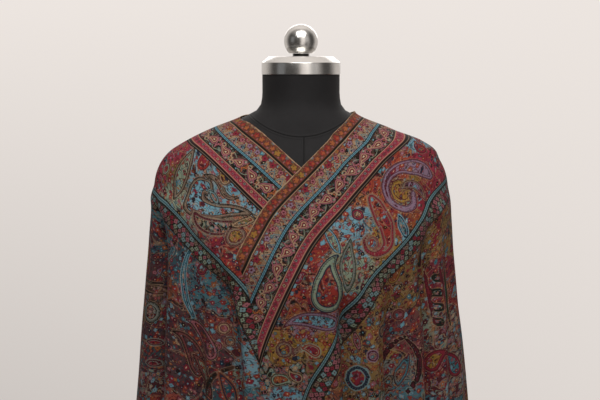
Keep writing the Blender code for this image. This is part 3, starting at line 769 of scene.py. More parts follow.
patchWeave = {"spacing": 50.0, "jitter": 15.0, "seed": 11, "from": 20.0, "to": 1080.0}
fieldPaints = (
    "mustard", "teal", "crimson", "ochre", "roseBrown", "rust", "deepTeal", "olive", "maroon", "sage",
    "teal", "crimson", "lightBlue", "ochre", "black", "scarlet",
)
napePaints = ("lightBlue", "crimson", "mustard", "scarlet", "sage", "teal", "crimson", "black")


# The fronts are laid out one by one out to this azimuth and down to this drop, and the rest by rule.
handLaid = {"azimuth": 84.0, "drop": 405.0}


def toFront(azimuth):
    return (azimuth + 180.0) % 360.0 - 180.0


def madeByHand(azimuth, drop):
    return abs(azimuth) < handLaid["azimuth"] and drop < handLaid["drop"]


def girthFrom(azimuth, drop):
    # The way round the cloth at one height, up to the azimuth where the layout by rule comes back to its start.
    last = np.radians(360.0 - handLaid["azimuth"])
    return float(onNet(net["round"], last, np.array(drop)) - onNet(net["round"], azimuth, np.array(drop)))


def patchList(inBorder):
    rows = list(borderPatches if inBorder else fieldPatches)
    draw = np.random.default_rng(patchWeave["seed"] + inBorder)
    drop, k = patchWeave["from"], 0
    while drop < patchWeave["to"]:
        count = max(6, int(girthFrom(np.array(net["azimuths"][0]), drop) / patchWeave["spacing"]))
        for j in range(count):
            azimuth = 360.0 * (j + 0.5 * (k % 2)) / count - handLaid["azimuth"] + draw.normal() * 1.5
            place = drop + draw.normal() * patchWeave["jitter"] * 0.5
            colours = napePaints if inBorder else fieldPaints
            colour = colours[draw.integers(len(colours))]
            if not madeByHand(toFront(azimuth), place):
                rows.append((colour, azimuth, place, 0.85 + 0.4 * draw.random()))
        drop += patchWeave["spacing"] * 0.86
        k += 1
    return rows


def wavy(points):
    # Bends the patches' borders, so that they run in curves as leaves and scrolls do.
    x, _, z = points.T / 1000.0
    bend = np.stack([
        np.sin(118.0 * z + 2.0 * np.sin(61.0 * x)) + 0.6 * np.sin(201.0 * x + 1.0),
        np.sin(97.0 * x + 1.3),
        np.sin(109.0 * x + 1.8 * np.sin(83.0 * z)) + 0.6 * np.sin(187.0 * z + 2.0),
    ], axis=1)
    return points + 6.5 * bend


def groundPatches(points, inBorder):
    rows = patchList(inBorder)
    azimuths, drops = np.radians([row[1] for row in rows]), np.array([float(row[2]) for row in rows])
    centres = ironed(azimuths, drops)
    reach = np.array([row[3] for row in rows])
    colours = np.array([paint(row[0]) for row in rows])
    if not inBorder:
        # the field is a little greyer than the border
        colours = 0.82 * colours + 0.16 * colours.mean(axis=1, keepdims=True)
    bent = wavy(points)
    colour, edge = np.empty((len(points), 3)), np.empty(len(points))
    for start in range(0, len(points), batch):
        some = slice(start, start + batch)
        away = bent[some, None, :] - centres[None]
        gap = np.linalg.norm(away, axis=2) / reach
        order = np.argsort(gap, axis=1)[:, :2]
        two = np.take_along_axis(gap, order, axis=1)
        each = np.arange(len(order))
        slope = [away[each, order[:, k]] / (two[:, k] * reach[order[:, k]] ** 2)[:, None] for k in (0, 1)]
        colour[some] = colours[order[:, 0]]
        edge[some] = (two[:, 1] - two[:, 0]) / np.linalg.norm(slope[1] - slope[0], axis=1)
    return colour, edge


print("figures")

threadGroup = 1.33  # mm

# Each figure is a brush stroke in thread groups: across, up, half width, from its head to its tip.
figures = {
    "paisley": (
        (0, 0, 10), (0.3, 6, 9.3), (1.5, 12, 7.4), (4, 17, 5), (7.5, 20.5, 2.8), (11.5, 21.5, 1.3), (14, 20, 0.3),
    ),
    "curl": (
        (36, 14, 5.0), (28, 20, 8.6), (18, 22.5, 8.6), (6, 22.5, 6.6), (-6, 19, 5.2), (-15, 11, 4.4), (-18.5, 1, 3.9),
        (-18, -8, 3.7), (-12, -17, 3.5), (-3, -21, 3.4), (6, -18.5, 3.2), (11, -11, 3.0), (13, -3, 2.6),
    ),
    "fan": ((-13, 2, 0.8), (-8, 5.5, 3.0), (-1, 6.5, 4.4), (6, 4.5, 4.6), (11, 0, 3.8), (14, -6, 2.6), (14, -12, 1.0)),
    "hook": (
        (-1, 29, 5.0), (2, 20, 8.4), (5, 9, 9.4), (8, -4, 7.8), (8, -15, 5.8), (3, -25, 4.2), (-7, -29.5, 3.0),
        (-15, -25, 2.4), (-17, -16, 1.9), (-12, -9, 1.2),
    ),
    "crook": (
        (0, 0, 17.5), (0, 9, 15.5), (-0.5, 17, 12.0), (-1, 25, 9.0), (-3, 32, 6.0), (-7, 38, 3.4), (-12, 42, 1.0),
    ),
    "comma": (
        (3, 3, 4.5), (-2, 10, 7.5), (-8.5, 9.5, 9.0), (-12, 2, 9.6), (-9.5, -7.5, 9.6), (-1, -13.5, 9.2),
        (14, -16, 7.6), (31, -14.5, 5.8), (43, -15, 3.6), (51, -17, 1.0),
    ),
    "tendril": ((-6, 20, 1.2), (4, 17.5, 2.2), (12, 10, 2.5), (18, 1, 2.4), (26, -3, 1.8), (34, -1.5, 0.7)),
    "broadLeaf": (
        (2, 29, 0.5), (1.5, 20, 4.6), (0, 8, 8.4), (-2, -4, 9.8), (-3, -16, 7.4), (-2, -26, 3.0), (-1, -30, 0.5),
    ),
    "bough": ((17, 24, 1.0), (9, 19, 1.6), (3, 12, 2.0), (-2, 3, 2.2), (-5, -7, 2.2), (-7, -17, 2.0), (-7, -28, 1.5)),
    "line": ((0, 32, 0.7), (1, 16, 1.0), (0.5, 0, 1.1), (-0.5, -16, 1.0), (0, -32, 0.7)),
    "arch": ((-4, 27, 0.9), (4, 18, 1.8), (8, 6, 2.1), (8, -7, 2.1), (3, -19, 1.9), (-5, -29, 1.3)),
    "wave": ((-15, -2, 3.0), (-8, -5, 2.6), (-1, -2, 2.2), (5, 3, 1.9), (12, 4, 1.5), (18, 1, 0.6)),
    "lobe": ((-25, 8, 1.4), (-19, 1, 4.6), (-10, -4, 7.0), (0, -6, 8.0), (10, -5, 7.6), (19, -1, 5.4), (26, 4, 2.0)),
    "leaf": (
        (0, 28, 0.4), (1.0, 20, 3.2), (1.4, 10, 6.0), (0.8, 0, 7.4), (-0.6, -10, 6.4), (-2.4, -20, 3.6), (-4, -28, 0.5),
    ),
    "bud": ((0, 11, 0.4), (0, 6, 2.4), (0, 0, 3.6), (0, -6, 2.8), (0, -11, 0.6)),
    "disc": ((0, 0, 8), (0.2, 0, 8)),
    "plume": (
        (-27, -3, 0.5), (-21, 1.5, 2.4), (-13, 4, 5.0), (-4, 4.5, 7.2), (6, 3.4, 8.4), (15, 1.5, 8.8), (21, 0, 7.4),
    ),
    "stem": ((-14, 22, 1.3), (-5, 17, 1.6), (1, 9, 1.8), (3, 0, 2.0), (1, -10, 1.8), (-5, -18, 1.4), (-12, -23, 1.0)),
    "square": ((-2.2, 0, 3.4), (2.2, 0, 3.4)),
}

# Figure, azimuth, drop, size, turn, mirrored, fill, rim, line.
frontFigures = (
    # between the right front's stripes
    ("disc", 76.4, 47, 1, 0, 1, "red", "crimson", "maroon"),
    ("disc", 57.6, 103, 1.75, 0, 1, "mustard", "mustard", "maroon"),
    ("curl", 58.4, 99, 1, 0, 1, "lilac", "lilac", "maroon"),
    ("fan", 62.6, 101, 0.9, 0, 1, "lilac", "taupe", "maroon"),
    ("disc", 36.4, 168, 0.9, 0, 1, "lightBlue", "taupe", "crimson"),
    ("hook", 41.4, 146, 0.95, 0, 1, "red", "crimson", "taupe"),
    ("disc", 33, 131, 0.7, 0, 1, "beige", "crimson", "navy"),
    ("bud", 51.6, 148, 1.15, 4, 1, "teal", "navy", "lightBlue"),
    ("leaf", 24, 196, 0.95, -6, -1, "sage", "grey", "darkGreen"),
    ("leaf", 17, 162, 0.62, 28, 1, "sage", "lightBlue", "navy"),
    ("crook", 13.2, 235, 0.96, 0, -1, "red", "sage", "navy"),
    ("paisley", -2, 214, 0.42, -30, 1, "lilac", "crimson", "maroon"),
    ("plume", 5, 274, 1, 2, 1, "lightBlue", "lilac", "maroon"),
    ("wave", -2, 309, 1, 0, 1, "cream", "taupe", "maroon"),
    ("disc", -9.1, 310, 1.1, 0, 1, "mustard", "taupe", "maroon"),
    ("paisley", 7.5, 312, 0.6, 60, -1, "crimson", "red", "sage"),
    ("paisley", -13, 352, 0.6, -80, 1, "orange", "sage", "black"),
    ("paisley", -2, 350, 0.5, 70, 1, "crimson", "beige", "black"),
    # the right front's field
    ("disc", 42.2, 289, 0.95, 0, 1, "beige", "navy", "taupe"),
    ("disc", 35.3, 320, 0.8, 0, 1, "rose", "maroon", "lilac"),
    ("disc", 31, 352, 1.78, 0, 1, "crimson", "navy", "greyBlue"),
    ("bud", 30, 300, 0.9, 20, 1, "taupe", "rose", "black"),
    ("paisley", 34, 250, 0.5, 40, -1, "teal", "sage", "brown"),
    ("paisley", 46, 216, 0.6, -20, 1, "rust", "mustard", "maroon"),
    ("disc", 50, 268, 0.75, 0, 1, "rose", "roseBrown", "maroon"),
    ("bough", 48.4, 332, 1.05, 0, 1, "crimson", "maroon", "black"),
    ("arch", 53.6, 340, 1, 0, 1, "crimson", "maroon", "black"),
    ("leaf", 51.4, 352, 0.85, -20, 1, "taupe", "teal", "maroon"),
    ("leaf", 47, 374, 0.8, -34, 1, "rust", "taupe", "black"),
    ("square", 68, 224, 1.15, 0, 1, "black", "black", "darkGreen"),
    ("square", 67.6, 244.5, 1.15, 0, 1, "black", "black", "darkGreen"),
    ("square", 67.5, 265, 1.15, 0, 1, "black", "black", "darkGreen"),
    ("square", 67.4, 286, 1.15, 0, 1, "black", "black", "darkGreen"),
    ("line", 65.8, 268, 1.25, 6, 1, "crimson", "crimson", "maroon"),
    ("line", 70.2, 262, 1.25, 7, 1, "crimson", "crimson", "maroon"),
    ("line", 74, 250, 1.1, 5, 1, "crimson", "crimson", "darkGreen"),
    ("paisley", 66, 345, 0.85, -30, 1, "mustard", "crimson", "maroon"),
    ("paisley", 75.8, 357, 0.9, 20, -1, "teal", "crimson", "maroon"),
    ("leaf", 62, 184, 0.7, 10, -1, "ochre", "darkGreen", "maroon"),
    # between the left front's stripes
    ("disc", -78, 76, 0.8, 0, 1, "rose", "sage", "maroon"),
    ("broadLeaf", -68.2, 78, 0.95, 0, 1, "sage", "taupe", "black"),
    ("paisley", -61.4, 66, 0.66, 8, 1, "crimson", "red", "maroon"),
    ("comma", -54.8, 107, 1, 0, 1, "lightBlue", "taupe", "black"),
    ("tendril", -54, 106, 1, 0, 1, "taupe", "taupe", "black"),
    ("bud", -51, 109, 0.85, 42, 1, "black", "greyBlue", "black"),
    ("paisley", -48, 86, 0.5, 40, 1, "mustard", "beige", "brown"),
    ("lobe", -44.8, 141, 0.98, -4, 1, "black", "maroon", "taupe"),
    ("disc", -34.6, 159, 1.25, 0, 1, "mustard", "taupe", "maroon"),
    ("leaf", -32.4, 140, 0.5, -62, 1, "olive", "beige", "black"),
    # the left front's field
    ("paisley", -49, 206, 0.5, -30, 1, "roseBrown", "crimson", "navy"),
    ("bough", -56, 222, 1.3, 24, 1, "navy", "deepTeal", "lightBlue"),
    ("disc", -40.6, 285, 0.75, 0, 1, "rose", "beige", "maroon"),
    ("disc", -38, 303, 0.6, 0, 1, "beige", "taupe", "maroon"),
    ("disc", -42.5, 309, 0.55, 0, 1, "orange", "rose", "maroon"),
    ("plume", -56, 322, 1, -58, 1, "plum", "roseBrown", "black"),
    ("plume", -51, 300, 0.9, -52, 1, "plum", "rose", "black"),
    ("leaf", -50, 352, 0.9, 36, 1, "sage", "roseBrown", "black"),
    ("arch", -43.4, 366, 0.9, 150, 1, "beige", "black", "brown"),
    ("leaf", -38.5, 372, 0.8, 26, 1, "deepTeal", "navy", "rust"),
    ("disc", -30.5, 296, 0.5, 0, 1, "crimson", "maroon", "orange"),
    ("bud", -30, 328, 0.8, 30, 1, "crimson", "navy", "lilac"),
    ("disc", -30.5, 362, 0.55, 0, 1, "crimson", "maroon", "orange"),
    ("bud", -29, 392, 0.9, -30, 1, "red", "black", "navy"),
    ("line", -79.6, 236, 0.62, 90, 1, "taupe", "taupe", "black"),
    ("line", -79.4, 251, 0.62, 90, 1, "grey", "black", "black"),
    ("disc", -77.6, 278, 1.5, 0, 1, "maroon", "grey", "black"),
    ("bud", -75.5, 320, 1, 90, 1, "crimson", "maroon", "grey"),
    ("bud", -75.5, 350, 1, 90, 1, "crimson", "maroon", "grey"),
)

figureWeave = {
    "across": 96.0, "down": 118.0, "seed": 5, "size": 1.25,
    "looks": (
        ("crimson", "sage", "maroon"), ("teal", "beige", "black"), ("mustard", "crimson", "maroon"),
        ("lilac", "lilac", "maroon"), ("scarlet", "lightBlue", "navy"), ("lightBlue", "brown", "black"),
        ("black", "brown", "beige"), ("sage", "rose", "maroon"), ("deepTeal", "cream", "navy"),
        ("ochre", "teal", "black"),
    ),
    "small": (("disc", 0.6), ("bud", 1.1), ("leaf", 0.7), ("disc", 0.8), ("stem", 0.9), ("paisley", 0.5)),
    "napeDrop": 70.0, "napeSpacing": 78.0, "napeSize": 0.98,
    "from": 208.0, "to": 985.0,
}


def figureList():
    # The figures by rule fill the sides, the back and the lower part, in rows that shift by half a step.
    rows = list(frontFigures)
    draw = np.random.default_rng(figureWeave["seed"])
    looks = figureWeave["looks"]

    def addRow(drop, spacing, size, inBorder, shift):
        count = max(5, round(girthFrom(np.radians(-handLaid["azimuth"]), drop) / spacing))
        for j in range(count):
            azimuth = 360.0 * (j + shift) / count - handLaid["azimuth"] + draw.normal() * 0.6
            place = drop + draw.normal() * 2.5
            look = looks[draw.integers(len(looks))]
            small, smallSize = figureWeave["small"][draw.integers(len(figureWeave["small"]))]
            mirrored = 1 if (j % 2) else -1
            fromFront = toFront(azimuth)
            if madeByHand(fromFront, place) or (inBorder and abs(fromFront) < 90.0):
                continue
            ownSize, tilt = size * (0.94 + 0.12 * draw.random()), 8.0 * draw.normal()
            rows.append(("paisley", azimuth, place, ownSize, tilt, mirrored, *look))
            half = 180.0 / count
            other = looks[draw.integers(len(looks))]
            if not madeByHand(toFront(fromFront + half), place - 20.0):
                rows.append((small, azimuth + half, place - 22.0, smallSize, 30.0 * draw.normal(), -mirrored, *other))

    addRow(figureWeave["napeDrop"], figureWeave["napeSpacing"], figureWeave["napeSize"], True, 0.5)
    drop, k = figureWeave["from"], 0
    while drop < figureWeave["to"]:
        addRow(drop, figureWeave["across"], figureWeave["size"], False, 0.5 * (k % 2))
        drop += figureWeave["down"]
        k += 1
    return rows


def strokeDistance(x, y, stroke, threads):
    # Signed distance to a brush stroke, and how far along it the nearest place is.
    controls = np.array(stroke, float) * threads
    share = np.linspace(0.0, 1.0, len(controls))
    fine = np.linspace(0.0, 1.0, 56)
    path = np.stack([monotoneCurve(share, controls[:, k])(fine) for k in range(3)], axis=1)
    run = np.concatenate([[0.0], np.cumsum(np.hypot(*np.diff(path[:, :2], axis=0).T))])
    gap = np.hypot(x[:, None] - path[None, :, 0], y[:, None] - path[None, :, 1]) - path[None, :, 2]
    nearest = np.argmin(gap, axis=1)
    widest = controls[:, 2].max()
    if run[-1] < 0.2 * widest:
        # a round figure is measured round its rim, and has petals
        angle = np.arctan2(y, x)
        notch = 0.11 * widest * np.abs(np.cos(angle * max(3, round(widest * 0.45))))
        return gap[np.arange(len(gap)), nearest] + notch, angle * 0.72 * widest, widest
    return gap[np.arange(len(gap)), nearest], run[nearest], widest


def onTheBend(points, centreTurn, centreDrop):
    # Places across and up from a figure's middle, where the cloth slopes: in the plane that touches it there.
    centre = ironed(centreTurn, centreDrop)
    sideways = ironed(centreTurn + 0.01, centreDrop) - centre
    downwards = ironed(centreTurn, centreDrop + 1.0) - centre
    normal = np.cross(downwards, sideways)
    normal /= np.linalg.norm(normal)
    up = np.array([0.0, 0.0, 1.0]) - normal[2] * normal
    up /= np.linalg.norm(up)
    away = points - centre
    return away @ np.cross(up, normal), away @ up, np.abs(away @ normal) < 46.0


def onTheHang(grid, across, down, centreTurn, centreDrop):
    # The same where it hangs: measured along the folded cloth.
    turn = centreTurn + 2.0 * math.pi * np.round((grid.azimuth - centreTurn) / (2.0 * math.pi))
    x = across - onNet(net["round"], turn, grid.drop)
    y = onNet(net["down"], grid.azimuth, np.full(len(down), centreDrop)) - down
    return x, y, np.abs(grid.azimuth - turn) < 1.2


def drawFigures(points, grid, across, down):
    # For each point: signed distance to the figure it belongs to, place along it, and that figure's paints.
    distance, run = np.full(len(points), 30.0), np.zeros(len(points))
    fill, rim, line = (np.full((len(points), 3), 0.1) for _ in range(3))
    for name, azimuth, drop, size, turn, mirrored, fillPaint, rimPaint, linePaint in figureList():
        threads = threadGroup * size
        middle = math.radians(azimuth), float(drop)
        x, y, close = onTheHang(grid, across, down, *middle) if drop > 200.0 else onTheBend(points, *middle)
        near = np.flatnonzero(close & (np.maximum(np.abs(x), np.abs(y)) < 62.0 * threads))
        if not len(near):
            continue
        x, y = x[near], y[near]
        c, s = math.cos(math.radians(turn)), math.sin(math.radians(turn))
        x, y = (x * c + y * s) * mirrored, y * c - x * s
        gap, along, widest = strokeDistance(x, y, figures[name], threads)
        mine = (gap < 2.4) | (gap < distance[near])
        chosen = near[mine]
        # a small figure has a thinner rim than a large one
        gap = np.where(gap < 0.0, gap / np.clip(widest / 13.0, 0.45, 1.7), gap)
        distance[chosen], run[chosen] = gap[mine], along[mine]
        fill[chosen], rim[chosen], line[chosen] = paint(fillPaint), paint(rimPaint), paint(linePaint)
    return distance, run, fill, rim, line


def layPrint(piece, grid, side):
    # Gives every corner of the sheet its place in the border, on the cloth, and in the ground and the figures.
    flat = ironed(grid.azimuth, grid.drop)
    if side == "back":
        right, left = (fromEdge(grid.azimuth, grid.drop, each) for each in ("right", "left"))
        run, innerRun, away = np.where(grid.azimuth < math.pi, right, left)
    else:
        run, innerRun, away = fromEdge(grid.azimuth, grid.drop, side)
    across, down = onNet(net["round"], grid.azimuth, grid.drop), onNet(net["down"], grid.azimuth, grid.drop)
    toHem = onNet(net["down"], grid.azimuth, hemDrop(grid.azimuth)) - down
    nearHem = toHem < away
    run, innerRun = np.where(nearHem, across, run), np.where(nearHem, across, innerRun)
    away = np.minimum(away, toHem)
    inBorder = (away < border["innerLine"]) & ~nearHem
    colour, edge = np.empty((len(flat), 3)), np.empty(len(flat))
    for chosen, inner in ((inBorder, True), (~inBorder, False)):
        colour[chosen], edge[chosen] = groundPatches(flat[chosen], inner)
    distance, along, fill, rim, line = drawFigures(flat, grid, across, down)
    mesh = piece.data
    corners = np.empty(len(mesh.loops), dtype=np.int32)
    mesh.loops.foreach_get("vertex_index", corners)
    for name, first, second in (("border", run, away), ("inner", innerRun, away), ("weave", across, down)):
        layer = mesh.uv_layers.new(name=name)
        layer.data.foreach_set("uv", (np.stack([first, second], axis=1) * 0.001)[corners].ravel())
    for name, values in (("patchEdge", edge), ("figure", distance), ("figureRun", along)):
        mesh.attributes.new(name, "FLOAT", "POINT").data.foreach_set("value", values)
    for name, values in (("ground", colour), ("figureFill", fill), ("figureRim", rim), ("figureLine", line)):
        mesh.attributes.new(name, "FLOAT_VECTOR", "POINT").data.foreach_set("vector", values.ravel())


def makeSheet(name, grid):
    mesh = bpy.data.meshes.new(name)
    mesh.from_pydata((grid.points * 0.001).tolist(), [], grid.faces.tolist())
    mesh.shade_smooth()
    piece = bpy.data.objects.new(name, mesh)
    bpy.context.collection.objects.link(piece)
    return piece


def thicken(piece):
    clearSelection()
    wall = piece.modifiers.new("cloth wall", "SOLIDIFY")
    wall.thickness = cloth["thickness"] * 0.001
    wall.offset = 1.0
    wall.use_even_offset = False
    bpy.context.view_layer.objects.active = piece
    bpy.ops.object.modifier_apply(modifier=wall.name)


print("materials")


def newMaterial(name, **shaderValues):
    # A material with its principled shader, and a wire to start sums from.
    material = bpy.data.materials.new(name)
    material.use_nodes = True
    tree = material.node_tree
    shader = next(node for node in tree.nodes if node.type == "BSDF_PRINCIPLED")
    for socketName, value in shaderValues.items():
        shader.inputs[socketName].default_value = value
    place = Wire(tree.nodes.new("ShaderNodeTexCoord").outputs["Object"])
    return material, shader, place


def plug(wire, shader, socketName):
    wire.socket.id_data.links.new(wire.socket, shader.inputs[socketName])


def bumpFrom(height, shader, depth, strength=1.0):
    bump = height.make("ShaderNodeBump", None, {"Height": height, "Distance": depth, "Strength": strength})
    plug(bump, shader, "Normal")


def dye(name):
    return (*paint(name), 1.0)


def paintOver(base, mask, top):
    return mask.make("ShaderNodeMix", {"data_type": "RGBA"}, {0: mask, 6: base, 7: top}, out=2)


def clamped(value):
    return value.make("ShaderNodeClamp", None, {0: value})


def above(value, limit, soft=0.5):
    return clamped(value.then("MULTIPLY_ADD", 1.0 / soft, 0.5 - limit / soft))


def below(value, limit, soft=0.5):
    return clamped(value.then("MULTIPLY_ADD", -1.0 / soft, 0.5 + limit / soft))


def within(value, middle, half, soft=0.5):
    return below(abs(value - middle), half, soft)


def lesser(first, second):
    return first.then("MINIMUM", second)


def greater(first, second):
    return first.then("MAXIMUM", second)


def repeat(value, period, shift=0.0):
    return (value + shift).then("WRAP", 0.5 * period, -0.5 * period)


def length(x, y):
    return (x * x + y * y).then("SQRT")


def parts(vector):
    node = vector.make("ShaderNodeSeparateXYZ", None, {0: vector}).socket.node
    return [Wire(socket) for socket in node.outputs]


def joined(*values):
    return values[0].make("ShaderNodeCombineXYZ", None, dict(enumerate(values)))


def inMillimetres(vector):
    return parts(vector.make("ShaderNodeVectorMath", {"operation": "SCALE"}, {0: vector, "Scale": 1000.0}))


def noise(vector, scale, detail, roughness=0.5, flat=False, out=0):
    inputs = {"Vector": vector, "Scale": scale, "Detail": detail, "Roughness": roughness}
    return vector.make("ShaderNodeTexNoise", {"noise_dimensions": "2D" if flat else "3D"}, inputs, out)


def petals(x, y, count, depth, turn=0.0):
    # A rosette's edge as a share of its size: round petals with notches between them.
    angle = y.then("ARCTAN2", x) * (0.5 * count) + turn
    return abs(angle.then("COSINE")) * depth + (1.0 - depth)


def cells(where, spread):
    # One place in each cell of a loose net: how far off its middle is, the way there, and three random numbers.
    inputs = {"Vector": where, "Scale": 1.0, "Randomness": spread}
    node = where.make("ShaderNodeTexVoronoi", {"voronoi_dimensions": "2D"}, inputs).socket.node
    middle = Wire(node.outputs["Position"])
    x, y, _ = parts(where.make("ShaderNodeVectorMath", {"operation": "SUBTRACT"}, {0: where, 1: middle}))
    chance = where.make("ShaderNodeSeparateColor", None, {0: Wire(node.outputs["Color"])}).socket.node
    return Wire(node.outputs["Distance"]), x, y, [Wire(socket) for socket in chance.outputs[:3]]


def turned2d(x, y, angle):
    c, s = angle.then("COSINE"), angle.then("SINE")
    return x * c + y * s, y * c - x * s


def swirled(where, scale, amount):
    # Bends the places a little, so that nothing drawn on them is quite regular.
    inputs = {0: noise(where, scale, 0.0, flat=True, out=1), 1: (amount, amount, 0.0), 2: where}
    return where.make("ShaderNodeVectorMath", {"operation": "MULTIPLY_ADD"}, inputs)


def constantRamp(value, stops):
    stops = [(start, paint(name)) for start, name in stops]
    return value.make("ShaderNodeValToRGB", {"stops": stops, "interpolation": "CONSTANT"}, {0: value})


def stripeRamp(position, bands, last):
    # Ground colours by the distance from the edge: (where it ends, paint), the last one endless.
    starts = [0.0] + [end / 200.0 for end, _ in bands]
    return constantRamp(position / 200.0, zip(starts, [name for _, name in bands] + [last]))


def byLot(chance, names):
    return constantRamp(chance, [(i / len(names), name) for i, name in enumerate(names)])


wool = {
    # mm, in the patches
    "paisleyCell": 34.0, "daisyCell": 27.0, "flowerCell": 11.5, "blossomCell": 8.4, "leafCell": 5.6, "speckCell": 3.4,
    "stripeShare": 0.8,  # how large the same things are in the stripes
    "paisleys": ("crimson", "teal", "mustard", "roseBrown", "navy", "red", "sage", "maroon"),
    "paisleyRims": ("beige", "navy", "crimson", "grey", "mustard", "maroon"),
    "flowers": (
        "crimson", "orange", "lightBlue", "red", "navy", "rose", "maroon", "teal", "scarlet", "crimson", "black",
    ),
    "paleFlowers": ("rose", "grey", "crimson", "sage", "beige", "orange", "rose", "lightBlue", "red"),
    "daisies": ("rose", "taupe", "lilac", "greyBlue", "crimson", "beige", "slate"),
    "leaves": ("navy", "crimson", "teal", "maroon", "orange", "darkGreen", "beige", "black", "crimson"),
    "paleLeaves": ("rose", "sage", "grey", "crimson", "beige", "teal", "orange"),
    "specks": ("black", "maroon", "crimson", "navy", "beige", "red", "lightBlue"),
    "paleSpecks": ("rose", "beige", "grey", "crimson", "sage"),
    "flowerHearts": ("mustard", "beige", "navy", "cream", "lightBlue"),
    # height, share, paint on pale grounds and on dark ones
    "stems": ((0.50, 0.75, "navy", "beige"), (0.42, 0.7, "maroon", "sage"), (0.58, 0.65, "black", "rose")),
    "twill": 0.8,  # mm from rib to rib
}


def shade(dark, onPale, onDark):
    return paintOver(dye(onPale), dark, dye(onDark))


def either(chance, dark, name):
    # Paints drawn by lot: one set for pale grounds and one for dark ones.
    paleName = "pale" + name[0].upper() + name[1:]
    return paintOver(byLot(chance, wool[name]), dark, byLot(chance, wool[paleName]))


def smallPaisleys(base, dark, where, mask):
    _, x, y, (first, second, third) = cells(where, 0.5)
    x, y = turned2d(x, y, second * 6.3)
    tail = greater(x, 0.0)
    gap = length(lesser(x, 0.0), y - 1.7 * tail * tail) - (first * 0.05 + 0.13) + 0.44 * tail
    shown = above(third, 0.22, 0.02) * mask
    line = shade(dark, "black", "beige")
    base = paintOver(base, within(gap, 0.034, 0.009, 0.02) * shown * 0.8, shade(dark, "beige", "rose"))
    base = paintOver(base, within(gap, 0.006, 0.010, 0.02) * shown, line)
    base = paintOver(base, within(gap, -0.024, 0.018, 0.02) * shown * 0.9, byLot(first, wool["paisleyRims"]))
    base = paintOver(base, within(gap, -0.052, 0.009, 0.02) * shown, line)
    return paintOver(base, below(gap, -0.064, 0.02) * shown * 0.85, byLot(second, wool["paisleys"]))


def flowers(base, dark, where, mask):
    away, x, y, (first, second, third) = cells(where, 0.75)
    count = (third * 3.0).then("FLOOR") + 4.0
    edge = petals(x, y, count, 0.36, second * 6.3)
    inside = (first * 0.13 + 0.22) * edge - away
    shown = above(second, 0.26, 0.02) * mask
    base = paintOver(base, above(inside, -0.055, 0.04) * shown * 0.75, shade(dark, "maroon", "teal"))
    base = paintOver(base, above(inside, 0.006, 0.04) * shown, either(third, dark, "flowers"))
    base = paintOver(base, within(inside, 0.085, 0.018, 0.03) * shown * 0.7, shade(dark, "black", "beige"))
    return paintOver(base, below(away, 0.066, 0.04) * shown, byLot(first, wool["flowerHearts"]))


def daisies(base, dark, where, mask):
    away, x, y, (first, second, third) = cells(where, 0.6)
    inside = (first * 0.09 + 0.14) * petals(x, y, 12.0, 0.42, second * 6.3) - away
    shown = above(third, 0.5, 0.02) * mask
    base = paintOver(base, above(inside, -0.026, 0.03) * shown * 0.85, shade(dark, "black", "maroon"))
    base = paintOver(base, above(inside, 0.0, 0.03) * shown, byLot(second, wool["daisies"]))
    base = paintOver(base, below(away, 0.075, 0.03) * shown, dye("maroon"))
    return paintOver(base, below(away, 0.036, 0.03) * shown, dye("mustard"))


def leaves(base, dark, where, mask):
    _, x, y, (first, second, third) = cells(where, 0.9)
    x, y = turned2d(x, y, second * 6.3)
    bent = y - 0.9 * x * x
    inside = first * 0.09 + 0.10 - 1.3 * x * x - abs(bent)
    shown = above(third, 0.34, 0.02) * mask
    base = paintOver(base, above(inside, -0.09, 0.08) * shown * 0.6, shade(dark, "maroon", "black"))
    return paintOver(base, above(inside, 0.0, 0.08) * shown * 0.95, either(third, dark, "leaves"))


def specks(base, dark, where, mask):
    away, _, _, (first, second, third) = cells(where, 1.0)
    dot = below(away - first * 0.14, 0.20, 0.14) * above(third, 0.58, 0.02)
    return paintOver(base, dot * mask * 0.65, either(second, dark, "specks"))


def vines(base, dark, where, mask):
    # Thin curling stems between the flowers.
    hills = noise(where, 0.55, 1.2, flat=True)
    for height, share, onPale, onDark in wool["stems"]:
        base = paintOver(base, below(abs(hills - height), 0.013, 0.012) * mask * share, shade(dark, onPale, onDark))
    return base


def after(colour, value):
    # The same value, tied to the layers below: the shader then works its layers out in turn and keeps few waiting.
    return colour.make("ShaderNodeRGBToBW", None, {0: colour}) * 0.0000001 + value


def numberAt(steps, seed):
    # A random number for each whole step.
    index = (steps + 0.5).then("FLOOR") * 3.7 + seed
    return steps.make("ShaderNodeTexWhiteNoise", {"noise_dimensions": "1D"}, {"W": index})


